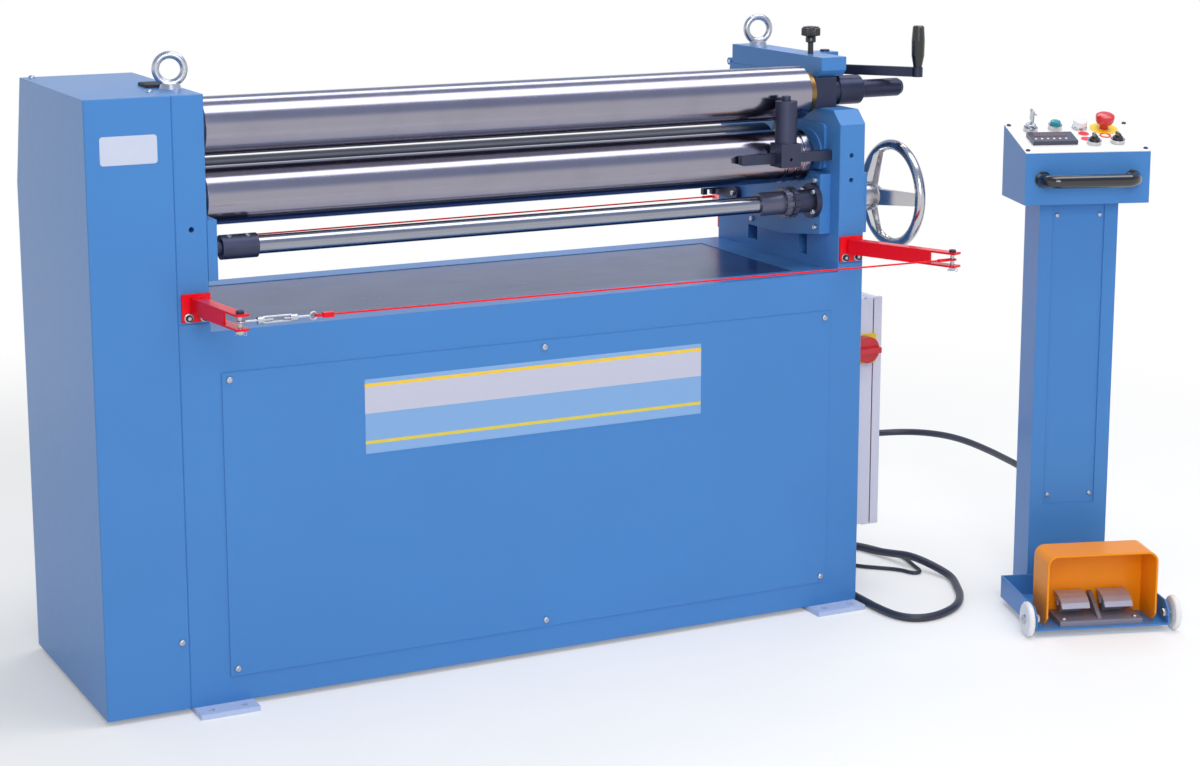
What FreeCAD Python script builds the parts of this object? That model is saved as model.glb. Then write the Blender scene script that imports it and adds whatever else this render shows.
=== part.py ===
import FreeCAD, Part
import math
import os
from FreeCAD import Vector

# Motor-driven slip roll machine with a separate control console, in millimetres.
# +X runs along the rolls to the handwheel end, +Y to the back, +Z up.
# The origin is the centre of the floor bolt pattern, on the floor.

# ---- driving dimensions: frame -------------------------------------------------
span = 1350.0              # between the inner faces of the uprights
upright_t = 60.0           # plate thickness of an upright
base_depth = 500.0         # front face to back face of the base
foot_t = 10.0              # foot plate thickness, and the base's height above the floor
deck_z = 742.0             # top of the base under the uprights
deck_drop = 18.0           # how far the deck between the uprights lies lower
sheet_t = 5.0              # base sheet
machine_top = 1159.0       # top of the left upright and the drive cover
foot_length = 115.0
foot_width = 75.0
foot_reach = 45.0          # how far a foot plate stands out of the base
foot_hole_r = 7.0
foot_hole_pitch = 64.0
foot_inset = 5.0           # end of the base to the outer end of a foot plate
panel_t = 2.0
panel_margin_x = 78.0      # base end to front panel
panel_low = 60.0
panel_high = 645.0
seam_chamfer = 1.5         # broken edge along the seams of the casing
pocket_depth = 40.0        # pockets in the right upright's inner face
pockets = ((329.0, 368.0, 42.0), (124.0, 156.0, 61.0))   # from and to behind the front face, height
front_hole_up = (97.0, 46.0)   # tapped holes in the uprights' front faces, over the rod's axis
left_hole_up = 47.0

# ---- driving dimensions: drive cover --------------------------------------------
cover_w = 160.0
cover_t = 3.0
cover_kink_z = 951.0       # the back of the cover and the uprights leans forward above this height
cover_top_depth = 443.0    # depth at the top

# ---- driving dimensions: rolls ---------------------------------------------------
roll_d = 110.0
roll_inset = 110.0         # front face to the axis of the upper and lower roll
upper_z = 1088.0
roll_gap = 20.0            # open gap between the upper and lower roll at rest
roll_left_clear = 20.0     # roll face to left upright
roll_right_clear = 33.0    # roll face to right upright
rear_inset = 250.0         # front face to the axis of the rear roll
rear_z = 955.0
journal_r = 27.5
run_clear = 0.06           # radial running clearance of a shaft in its bearing
seat_clear = 0.4           # clearance of a block in its guide
groove_radii = (6.0, 8.0, 10.0)
groove_depth_share = 0.5
stub_spigot_r = 20.0       # journals of the upper roll: spigots in the roll's ends
stub_spigot_len = 50.0
thrust_t = 16.0            # bronze ring between roll and right block
thrust_r = 44.0
bearing_r = 40.0           # outside of the upper roll's left bush
right_block_t = 52.0
block_lower_w = 90.0       # lower bearing block, along Y and Z
block_lower_h = 84.0
pinch_travel = 20.0
cover_plate_t = 6.0        # cover plates on the lower bearing blocks
cover_plate_w = 114.0
cover_plate_low = 27.0
cover_plate_high = 68.0
seal_r = 52.0
seal_t = 4.0
rear_block_r = 38.0        # half of the rear bearing block's side
rear_travel = 50.0
release_r = 30.5           # handle of the upper right bearing
release_collar = 70.0
release_bar_r = 19.0
release_bar = 99.0

# ---- driving dimensions: gears -------------------------------------------------------
module = 5.0
roll_teeth = 20
main_teeth = 38
pinion_teeth = 18
gear_w = 30.0
gear_addendum = 4.5
gear_dedendum = 5.6
main_shaft_r = 20.0
pinion_shaft_r = 14.0
motor_bore_depth = 60.0    # how far the pinion shaft reaches into the reducer
reducer_w = 110.0
reducer_half = 70.0
reducer_below = 90.0       # reducer below and above the pinion's axis
reducer_above = 40.0
motor_r = 68.0
motor_len = 230.0

# ---- driving dimensions: pinch drive ------------------------------------------------
rod_inset = 60.0           # front face to the rod's axis
rod_z = 868.0
rod_r = 17.5
sleeve_r = 23.0
sleeve_len = 70.0
clutch_tooth_h = 7.0
clutch_teeth = 8
clutch_r = 32.0
clutch_body = 55.0
clutch_collar = 11.0
clutch_notches = 16
clutch_notch_r = 2.6
clutch_to_flange = 123.0
wheel_x = 845.0            # middle plane of the handwheel rim
wheel_r = 115.0
wheel_rim_r = 11.0
wheel_hub_r = 32.0
wheel_dish = 92.0          # rim's middle to the hub's inner end
wheel_hub_len = 58.0
wheel_arm_dirs = (180.0, 60.0, 300.0)
stub_r = 14.0

rod_block_t = 18.0         # bearing block of the rod on the left upright
rod_block_w = 122.0
rod_block_low = 50.0
rod_block_high = 62.0
rod_flange_r = 36.0
stop_z = 850.0             # top of the stop bracket under the rear roll
sleeve_gap = 42.0          # left upright to the sleeve
rod_flange_t = 12.0
gear_plate_t = 25.0        # plate that carries the rod's right bearing
handwheel_plate_t = 13.0
handwheel_plate_low = 67.0
handwheel_plate_high = 58.0
handwheel_plate_w = 100.0

# ---- driving dimensions: cap, crank, cone guide ----------------------------------------
block_h = 62.0             # square bearing block of the upper roll
cap_t = 41.0
cap_front_inset = 77.0
cap_back_inset = 8.0
cap_eye_inset = 388.0
cap_knob_inset = 170.0
knob_screw_r = 6.0
eye_ring_r = 26.0
eye_bar_r = 7.0
crank_out = 27.0           # right upright to the crank's spindle
crank_inset = 205.0
crank_r = 204.0
crank_dir_deg = -50.0
crank_z = 1124.0
crank_foot_z = 905.0       # underside of the spindle's lower bracket
crank_foot_h = 25.0
hinge_lug_r = 8.0          # lugs of the cap hinge
hinge_pin_r = 4.0
hinge_clear = 0.5          # cap lug to upright
hinge_lug_w = 28.0         # width of the cap's lug
side_clear = 0.3           # between neighbours that slide past each other
cone_inside = 113.0        # right upright to the guide roller
cone_inset = 29.0
cone_reach = 100.0         # bar beyond the roller
cone_bar = 20.0
cone_bar_z = 964.0

# ---- driving dimensions: electrical cabinet --------------------------------------------
cab_depth = 150.0
cab_inset = 150.0          # front face to the cabinet
cab_w = 300.0
cab_z0 = 124.0
cab_h = 502.0
cab_wall = 2.0
door_t = 20.0
door_gap = 3.0
hinge_tab = 3.0            # pivot lugs of the cabinet door, pins and their clearances
door_pin_r = 3.0
door_pin_len = 10.0
door_play = 0.3
switch_up = 394.0
switch_in = 103.0
switch_plate = 64.0
switch_r = 29.0

# ---- driving dimensions: cables and trip wire --------------------------------------------
console_cable_r = 7.5
floor_cable_r = 8.5
thin_cable_r = 4.5
gland_length = 28.0
column_gland = (-50.0, 94.0, 252.0)    # in the console's frame
wire_z = 777.0
wire_r = 1.75
arm_h = 30.0
arm_w = 24.0
arm_wall = 4.0
bracket_t = 6.0
bracket_w = 54.0
bracket_low = 31.0
bracket_high = 21.0
right_arm_out = 62.0       # tips of the arms beyond the uprights' outer faces, and in front of the machine
left_arm_in = 54.0
right_arm_reach = 232.0
left_arm_reach = 188.0
turnbuckle_eye_at = 134.6
wire_loop_r = 7.0
wire_eye_r = 6.6           # centre radius of the eyes round the clevis pins
wire_eye_bar = 2.0

# ---- driving dimensions: foot pedal ----------------------------------------------------------
pedal_half = 30.0
pedal_pitch = 46.0         # middle of each pedal from the console's middle
post_half = 22.0
post_y0 = -164.0
post_y1 = -146.0
pedal_pivot_y = -155.0
pedal_pivot_h = 32.0       # over the tray
pedal_pin_r = 3.0

# ---- driving dimensions: console ----------------------------------------------------------
con_x = 1147.5
con_y = -432.9
con_turn = -18.3
col_w = 170.0
col_d = 94.0
col_h = 865.0
col_t = 3.0
box_w = 267.0
box_front = -45.0
box_back = 105.0
box_front_h = 107.0        # front and back of the box over its floor
box_back_h = 148.0
lid_half = 56.0            # opening of the column's front
lid_low = 215.0
lid_top = 8.0
handle_half = 96.0
handle_r = 14.0
handle_out = 38.0
handle_h = 53.0
handle_bend = 26.0
plate_t = 2.0              # control plate
tray_w = 285.0
tray_front = -237.0
tray_z = 14.0
tray_wall_z = 61.0
con_wheel_r = 36.0
con_wheel_w = 12.0
con_wheel_y = -227.0
con_wheel_gap = 7.5        # side of the tray to a wheel
hood_w = 236.0
hood_h = 152.0
hood_front = -226.0
hood_back = -138.0
hood_corner = 20.0         # corners cut from the sides at the front
hood_t = 4.0

# ---- worked-out sizes ------------------------------------------------------------------------
half_span = span / 2
end_x = half_span + upright_t
front_y = -base_depth / 2
back_y = base_depth / 2
top_back = front_y + cover_top_depth
roll_r = roll_d / 2
lower_z = upper_z - roll_d - roll_gap
roll_x0 = -half_span + roll_left_clear
roll_x1 = half_span - roll_right_clear
deck_mid_z = deck_z - deck_drop
seat_z = upper_z - block_h / 2 - seat_clear
cap_z0 = upper_z + block_h / 2 + seat_clear
cap_z1 = cap_z0 + cap_t
upright_back = back_y - (back_y - top_back) * (cap_z0 - cover_kink_z) / (machine_top - cover_kink_z)
roll_pitch_r = module * roll_teeth / 2
main_pitch_r = module * main_teeth / 2
pinion_pitch_r = module * pinion_teeth / 2
main_gear_z = lower_z - roll_pitch_r - main_pitch_r
pinion_z = main_gear_z - main_pitch_r - pinion_pitch_r
gear_x0 = -end_x - 10.0 - gear_w
left_arm_tip = Vector(-end_x + left_arm_in, front_y - left_arm_reach, wire_z)
right_arm_tip = Vector(end_x + right_arm_out, front_y - right_arm_reach, wire_z)
foot_x = end_x - foot_inset - foot_length / 2
foot_hole_y = back_y + foot_reach / 2
roll_y = front_y + roll_inset
rear_y = front_y + rear_inset
rod_y = front_y + rod_inset
cap_front_y = front_y + cap_front_inset
cap_rear_y = upright_back - cap_back_inset
cap_knob_y = front_y + cap_knob_inset
hinge_y = upright_back + hinge_lug_r + hinge_clear
hinge_z = cap_z0 + 2.0
hinge_x = half_span + upright_t / 2
crank_x = end_x + crank_out
crank_y = front_y + crank_inset
cone_x = half_span - cone_inside
cone_y = front_y + cone_inset
cab_x0 = end_x
cab_y0 = front_y + cab_inset
switch_x = cab_x0 + switch_in
switch_z = cab_z0 + switch_up
box_front_z = col_h + box_front_h
box_back_z = col_h + box_back_h
left_sleeve_x0 = -half_span + sleeve_gap
flange_x0 = half_span - gear_plate_t - rod_flange_t
clutch_x0 = flange_x0 - clutch_to_flange
rod_x1 = clutch_x0 + clutch_body + clutch_collar
rear_dir = Vector(0, -0.5, math.sqrt(3) / 2)

os.makedirs("parts", exist_ok=True)


# ---- helpers --------------------------------------------------------------------------------------
def box(x0, x1, y0, y1, z0, z1):
    """Box between two corners."""
    return Part.makeBox(x1 - x0, y1 - y0, z1 - z0, Vector(x0, y0, z0))


def rod_along(axis, start, radius, length):
    """Cylinder from start along a unit axis."""
    return Part.makeCylinder(radius, length, Vector(*start), Vector(*axis))


def rod_x(x0, x1, y, z, radius):
    return rod_along((1, 0, 0), (x0, y, z), radius, x1 - x0)


def rod_y_axis(y0, y1, x, z, radius):
    return rod_along((0, 1, 0), (x, y0, z), radius, y1 - y0)


def rod_z_axis(z0, z1, x, y, radius):
    return rod_along((0, 0, 1), (x, y, z0), radius, z1 - z0)


def prism_x(points, x0, x1):
    """Outline of (y, z) points, extruded along X."""
    wire = Part.makePolygon([Vector(x0, y, z) for y, z in points + points[:1]])
    return Part.Face(wire).extrude(Vector(x1 - x0, 0, 0))


def prism_y(points, y0, y1):
    """Outline of (x, z) points, extruded along Y."""
    wire = Part.makePolygon([Vector(x, y0, z) for x, z in points + points[:1]])
    return Part.Face(wire).extrude(Vector(0, y1 - y0, 0))


def prism_z(points, z0, z1):
    """Outline of (x, y) points, extruded along Z."""
    wire = Part.makePolygon([Vector(x, y, z0) for x, y in points + points[:1]])
    return Part.Face(wire).extrude(Vector(0, 0, z1 - z0))


def revolve_x(profile, y, z):
    """(x, radius) profile turned round an axis along X."""
    closed = profile + [(profile[-1][0], 0), (profile[0][0], 0), profile[0]]
    wire = Part.makePolygon([Vector(px, y + r, z) for px, r in closed])
    return Part.Face(wire).revolve(Vector(0, y, z), Vector(1, 0, 0), 360)


def revolve_z(profile, x, y):
    """(radius, z) profile turned round an axis along Z."""
    closed = profile + [(0, profile[-1][1]), (0, profile[0][1]), profile[0]]
    wire = Part.makePolygon([Vector(x + r, y, pz) for r, pz in closed])
    return Part.Face(wire).revolve(Vector(x, y, 0), Vector(0, 0, 1), 360)


def edges_where(shape, test):
    """Straight edges whose middle point passes a test."""
    return [e for e in shape.Edges if test(e.CenterOfMass, e)]


def break_edges(shape):
    """Chamfer the upright and upper edges of the front."""
    top = shape.BoundBox.ZMax
    front = shape.BoundBox.YMin
    chosen = edges_where(shape, lambda c, e: abs(c.y - front) < 0.1 and c.z > foot_t + 1 and
                         (abs(c.z - top) < 0.1 or e.BoundBox.XLength < 0.1))
    return shape.makeChamfer(seam_chamfer, chosen)


def at_back(shape):
    """The same piece mirrored to the back of the machine."""
    return shape.mirror(Vector(0, 0, 0), Vector(0, 1, 0))


def group(solids):
    """Separate solids kept together as one node."""
    return Part.makeCompound(solids)


def save(shape, node):
    shape.exportStep("parts/" + node + ".step")


# Pieces that share a node as separate solids: fasteners with the cable glands and the turnbuckle, cast
# housings, sheet panels, and the fixed fittings of the control panels.
fasteners = []
housings = []
panels = []
fittings = []


def hex_prism(axis, start, across, length):
    """Hexagon bolt head or nut from start along a unit axis."""
    radius = across / math.sqrt(3)
    points = [Vector(radius * math.cos(math.radians(60 * i)), radius * math.sin(math.radians(60 * i)), 0)
              for i in range(7)]
    head = Part.Face(Part.makePolygon(points)).extrude(Vector(0, 0, length))
    turn = FreeCAD.Rotation(Vector(0, 0, 1), Vector(*axis))
    head.Placement = FreeCAD.Placement(Vector(*start), turn)
    return head


def gear_blank(teeth, pitch_r, x0, x1, y, z, bore_r, phase_deg):
    """Spur gear along X with trapezoid teeth; a tooth points at phase_deg in the YZ plane."""
    root_r = pitch_r - gear_dedendum
    tip_r = pitch_r + gear_addendum
    pitch = 2 * math.pi / teeth
    points = []
    for tooth in range(teeth):
        middle = math.radians(phase_deg) + tooth * pitch
        for radius, share in ((root_r, -0.34), (tip_r, -0.12), (tip_r, 0.12), (root_r, 0.34)):
            angle = middle + share * pitch
            points.append((y + radius * math.cos(angle), z + radius * math.sin(angle)))
    return prism_x(points, x0, x1).cut(rod_x(x0 - 1, x1 + 1, y, z, bore_r))


# ---- base -------------------------------------------------------------------------------------------
def base_cabinet():
    shell = break_edges(box(-end_x, end_x, front_y, back_y, foot_t, deck_z))
    shell = shell.cut(box(-half_span, half_span, front_y - 1, back_y + 1, deck_mid_z, deck_z + 1))
    inside_x = end_x - sheet_t
    shell = shell.cut(box(-inside_x, inside_x, front_y + sheet_t, back_y - sheet_t,
                          foot_t + sheet_t, deck_mid_z - sheet_t))
    opening = box(-end_x + panel_margin_x + 20, end_x - panel_margin_x - 20, front_y - 1,
                  front_y + sheet_t + 1, panel_low + 20, panel_high - 20)
    shell = shell.cut(opening)
    recess_x = half_span - 75.0
    shell = shell.cut(box(-recess_x, recess_x, front_y + 57, back_y - 57, deck_mid_z - 3, deck_mid_z + 1))
    shell = shell.cut(rod_x(-end_x - 1, -end_x + sheet_t + 1, roll_y, pinion_z, 30.0))
    save(shell, "base_cabinet")
    tray = box(-recess_x, recess_x, front_y + 57, back_y - 57, deck_mid_z - 3, deck_mid_z - 1)
    save(tray, "drip_tray")


def front_panel():
    x1 = end_x - panel_margin_x
    panel = box(-x1, x1, front_y - panel_t, front_y, panel_low, panel_high)
    panels.append(panel)
    inset = 14.0
    spots = [(sx * (x1 - inset), z) for sx in (-1, 1) for z in (panel_low + inset, panel_high - inset)]
    spots += [(0.0, panel_low + inset), (0.0, panel_high - inset)]
    for x, z in spots:
        fasteners.append(rod_y_axis(front_y - panel_t - 3, front_y - panel_t, x, z, 5.5))


def foot_plates():
    plates = []
    for sx in (-1, 1):
        for sy in (-1, 1):
            x = sx * foot_x
            outer = sy * (back_y + foot_reach)
            inner = outer - sy * foot_width
            plate = box(x - foot_length / 2, x + foot_length / 2, min(inner, outer), max(inner, outer), 0, foot_t)
            for dx in (-1, 1):
                plate = plate.cut(rod_z_axis(-1, foot_t + 1, x + dx * foot_hole_pitch / 2, sy * foot_hole_y,
                                             foot_hole_r))
            plates.append(plate)
    save(group(plates), "foot_plates")



# ---- uprights ------------------------------------------------------------------------------------------
def slot_yz(x0, x1, y, z, half_w, low, high):
    """Upright slot through an X-wide plate."""
    return box(x0, x1, y - half_w, y + half_w, z + low, z + high)


def rear_slot(x0, x1, clear):
    """Inclined guide slot of the rear roll's bearing block, with room above and below its travel."""
    half = rear_block_r + clear
    along = rear_dir
    side = Vector(0, rear_dir.z, -rear_dir.y)
    centre = Vector(x0, rear_y, rear_z)
    low = centre - along * (half + 0.5)
    high = centre + along * (rear_travel + half + 0.5)
    corners = [low - side * half, low + side * half, high + side * half, high - side * half]
    return prism_x([(c.y, c.z) for c in corners], x0, x1)


def left_upright():
    x0, x1 = -end_x, -half_span
    outline = [(front_y, deck_z), (front_y, machine_top), (top_back, machine_top), (back_y, cover_kink_z),
               (back_y, deck_z)]
    plate = break_edges(prism_x(outline, x0, x1))
    plate = plate.cut(rod_x(x0 - 1, x1 + 1, roll_y, upper_z, bearing_r + run_clear))
    plate = plate.cut(slot_yz(x0 - 1, x1 + 1, roll_y, lower_z, block_lower_w / 2 + seat_clear,
                              -block_lower_h / 2 - seat_clear, block_lower_h / 2 + pinch_travel + 2))
    plate = plate.cut(rear_slot(x0 - 1, x1 + 1, seat_clear))
    plate = plate.cut(rod_x(x0 - 1, x1 + 1, rod_y, rod_z, stub_r + run_clear))
    plate = plate.cut(rod_x(x0 - 1, x1 + 1, roll_y, main_gear_z, main_shaft_r + run_clear))
    plate = plate.cut(rod_y_axis(front_y - 1, front_y + 30, -end_x + 30, rod_z + left_hole_up, 5.0))
    save(plate, "left_upright")


def right_upright():
    x0, x1 = half_span, end_x
    cut_y = roll_y + block_h / 2 + seat_clear
    outline = [(front_y, deck_z), (front_y, seat_z - 28), (front_y + 29, seat_z), (cut_y, seat_z),
               (cut_y, cap_z0), (upright_back, cap_z0), (back_y, cover_kink_z), (back_y, deck_z)]
    plate = break_edges(prism_x(outline, x0, x1))
    for start, end, height in pockets:
        plate = plate.cut(box(x0 - 1, x0 + pocket_depth, front_y + start, front_y + end, deck_z - 4, deck_z + height))
    plate = plate.cut(slot_yz(x0 - 1, x1 + 1, roll_y, lower_z, block_lower_w / 2 + seat_clear,
                              -block_lower_h / 2 - seat_clear, block_lower_h / 2 + pinch_travel + 2))
    plate = plate.cut(rear_slot(x0 - 1, x1 + 1, seat_clear))
    plate = plate.cut(rod_x(x0 - 1, x1 + 1, rod_y, rod_z, stub_r + run_clear))
    for up in front_hole_up:
        plate = plate.cut(rod_y_axis(front_y - 1, front_y + 30, x0 + 28, rod_z + up, 5.0))
    lug_gap = hinge_lug_w / 2 + side_clear
    for lug_x0, lug_x1 in ((x0 + 1, hinge_x - lug_gap), (hinge_x + lug_gap, x1 - 1)):
        lug = hinge_lug(lug_x0, lug_x1, upright_back - 1, hinge_z - hinge_lug_r, hinge_z - 2.5)
        plate = plate.fuse(lug.cut(rod_x(lug_x0 - 1, lug_x1 + 1, hinge_y, hinge_z, hinge_pin_r)))
    save(plate.removeSplitter(), "right_upright")


# ---- drive cover -------------------------------------------------------------------------------------------
def drive_cover():
    x0, x1 = -end_x - cover_w, -end_x
    outline = [(front_y, foot_t), (front_y, machine_top), (top_back, machine_top),
               (back_y, cover_kink_z), (back_y, foot_t)]
    inner = [(front_y + cover_t, foot_t + cover_t), (front_y + cover_t, machine_top - cover_t),
             (top_back - cover_t, machine_top - cover_t), (back_y - cover_t, cover_kink_z),
             (back_y - cover_t, foot_t + cover_t)]
    shell = break_edges(prism_x(outline, x0, x1)).cut(prism_x(inner, x0 + cover_t, x1 + 1))
    save(shell, "drive_cover")
    fasteners.append(rod_y_axis(front_y - 3, front_y, x1 - 14, 141, 5.5))
    for x, y in ((x0 + 20, 180.0), (x1 - 14, -165.0)):
        fasteners.append(rod_z_axis(machine_top, machine_top + 3, x, y, 5.5))


# ---- rolls ----------------------------------------------------------------------------------------------------
def roll_body(x0, x1, y, z, journal_ends=()):
    """Polished roll with a journal turned at each end, or plain ends where no journal ends are given."""
    bevel = 2.0
    profile = [(x0, roll_r - bevel), (x0 + bevel, roll_r), (x1 - bevel, roll_r), (x1, roll_r - bevel)]
    if journal_ends:
        left_end, right_end = journal_ends
        profile = [(left_end, journal_r), (x0, journal_r)] + profile + [(x1, journal_r), (right_end, journal_r)]
    return revolve_x(profile, y, z)


def upper_roll(gear_end):
    """Upper roll with a stub journal in each end, whose spigot sits in the roll."""
    body = roll_body(roll_x0, roll_x1, roll_y, upper_z)
    stubs = []
    for face, outer_end, inward in ((roll_x0, gear_end, 1), (roll_x1, half_span + upright_t / 2, -1)):
        spigot_ends = sorted((face - inward, face + inward * stub_spigot_len))
        spigot = rod_x(*spigot_ends, roll_y, upper_z, stub_spigot_r)
        journal = rod_x(*sorted((face, outer_end)), roll_y, upper_z, journal_r)
        body = body.cut(spigot)
        stubs.append(journal.fuse(spigot).removeSplitter())
    return group([body] + stubs)


def rolls():
    gear_end = gear_x0 - 12
    save(upper_roll(gear_end), "upper_roll")
    lower = roll_body(roll_x0, roll_x1, roll_y, lower_z, (gear_end, end_x - 6))
    groove_x = roll_x1 - 18
    for groove_r in groove_radii:
        ring = Part.makeTorus(roll_r + groove_r * (1 - 2 * groove_depth_share), groove_r * groove_depth_share,
                              Vector(groove_x, roll_y, lower_z), Vector(1, 0, 0))
        lower = lower.cut(ring)
        groove_x -= 2 * groove_r + 6
    save(lower, "lower_roll")
    rear = roll_body(roll_x0, roll_x1, rear_y, rear_z, (-end_x + 6, end_x - 6))
    save(rear, "rear_roll")
    thrust = rod_x(roll_x1, roll_x1 + thrust_t, roll_y, upper_z, thrust_r)
    thrust = thrust.cut(rod_x(roll_x1 - 1, roll_x1 + thrust_t + 1, roll_y, upper_z, journal_r + run_clear))
    bush = rod_x(-end_x, -half_span + 8, roll_y, upper_z, bearing_r)
    bush = bush.cut(rod_x(-end_x - 1, -half_span + 9, roll_y, upper_z, journal_r + run_clear))
    save(group([bush, thrust]), "upper_roll_bushes")


def block_cover(side):
    """Cover plate with a seal boss over a lower bearing block, on the inner face of an upright."""
    face = side * half_span
    inner = face - side * cover_plate_t
    boss_end = inner - side * seal_t
    cover = box(min(face, inner), max(face, inner), roll_y - cover_plate_w / 2, roll_y + cover_plate_w / 2,
                lower_z - cover_plate_low, lower_z + cover_plate_high)
    corners = edges_where(cover, lambda c, e: e.BoundBox.XLength > cover_plate_t - 1)
    cover = cover.makeFillet(10, corners)
    boss = rod_x(min(face, boss_end), max(face, boss_end), roll_y, lower_z, seal_r)
    boss = boss.common(box(-end_x, end_x, front_y, back_y, lower_z - cover_plate_low, machine_top))
    bore = rod_x(min(face, boss_end) - 1, max(face, boss_end) + 1, roll_y, lower_z, journal_r + run_clear)
    return cover.fuse(boss).cut(bore).removeSplitter()


# ---- roll bearings ----------------------------------------------------------------------------------------------
def roll_bearings():
    x0 = roll_x1 + thrust_t + 3
    x1 = x0 + right_block_t
    block = box(x0, x1, roll_y - block_h / 2, roll_y + block_h / 2, upper_z - block_h / 2, upper_z + block_h / 2)
    block = block.cut(rod_x(x0 - 1, half_span + 30 + 1, roll_y, upper_z, journal_r + run_clear))
    save(block, "upper_right_bearing")
    x2 = x1 + release_collar
    x3 = x2 + release_bar
    profile = [(x1, release_r), (x1 + 6, release_r), (x1 + 8, release_r - 3), (x1 + 12, release_r - 3),
               (x1 + 14, release_r), (x2, release_r), (x2 + 3, release_r - 3), (x2 + 3, release_bar_r),
               (x3, release_bar_r), (x3 + 8, release_bar_r - 4), (x3 + 12, release_bar_r - 11)]
    save(revolve_x(profile, roll_y, upper_z), "release_handle")
    blocks = []
    for x in (-end_x, half_span):
        half_w, half_h = block_lower_w / 2, block_lower_h / 2
        piece = box(x, x + upright_t, roll_y - half_w, roll_y + half_w, lower_z - half_h, lower_z + half_h)
        blocks.append(piece.cut(rod_x(x - 1, x + upright_t + 1, roll_y, lower_z, journal_r + run_clear)))
    for side in (-1, 1):
        blocks.append(block_cover(side))
    save(group(blocks), "lower_bearing_blocks")
    blocks = []
    for x in (-end_x, half_span):
        piece = box(x, x + upright_t, rear_y - rear_block_r, rear_y + rear_block_r,
                    rear_z - rear_block_r, rear_z + rear_block_r)
        piece.rotate(Vector(0, rear_y, rear_z), Vector(1, 0, 0), 30)
        blocks.append(piece.cut(rod_x(x - 1, x + upright_t + 1, rear_y, rear_z, journal_r + run_clear)))
    save(group(blocks), "rear_bearing_blocks")


# ---- gears ---------------------------------------------------------------------------------------------------------
def gears():
    x0, x1 = gear_x0, gear_x0 + gear_w
    down = -90.0
    roll_phase = down
    main_phase = meshing_phase(roll_phase, roll_teeth, main_teeth, down)
    pinion_phase = meshing_phase(main_phase, main_teeth, pinion_teeth, down)
    save(gear_blank(roll_teeth, roll_pitch_r, x0, x1, roll_y, upper_z, journal_r, 90), "upper_roll_gear")
    save(gear_blank(roll_teeth, roll_pitch_r, x0, x1, roll_y, lower_z, journal_r, roll_phase), "lower_roll_gear")
    main = gear_blank(main_teeth, main_pitch_r, x0, x1, roll_y, main_gear_z, main_shaft_r, main_phase)
    shaft = rod_x(x0 - 14, -half_span, roll_y, main_gear_z, main_shaft_r)
    save(group([main, shaft]), "main_gear")
    pinion = gear_blank(pinion_teeth, pinion_pitch_r, x0, x1, roll_y, pinion_z, pinion_shaft_r, pinion_phase)
    shaft = rod_x(x0 - 6, -end_x + motor_bore_depth, roll_y, pinion_z, pinion_shaft_r)
    save(group([pinion, shaft]), "drive_pinion")


def meshing_phase(phase, teeth, other_teeth, line):
    """Angle of a tooth of the other gear, whose centre lies in direction line from this one."""
    offset = (phase - line) / (360.0 / teeth)
    return line + 180 + (0.5 - offset) * 360.0 / other_teeth


# ---- motor and reducer -------------------------------------------------------------------------------------------------
def motor_unit():
    x0 = -end_x + sheet_t
    body = box(x0, x0 + reducer_w, roll_y - reducer_half, roll_y + reducer_half,
               pinion_z - reducer_below, pinion_z + reducer_above)
    body = body.cut(rod_x(x0 - 1, x0 + motor_bore_depth, roll_y, pinion_z, pinion_shaft_r + run_clear))
    motor_y = roll_y + reducer_half
    motor = rod_y_axis(motor_y, motor_y + motor_len, x0 + 70, pinion_z - 40, motor_r)
    save(group([body, motor]), "gear_motor")


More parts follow.
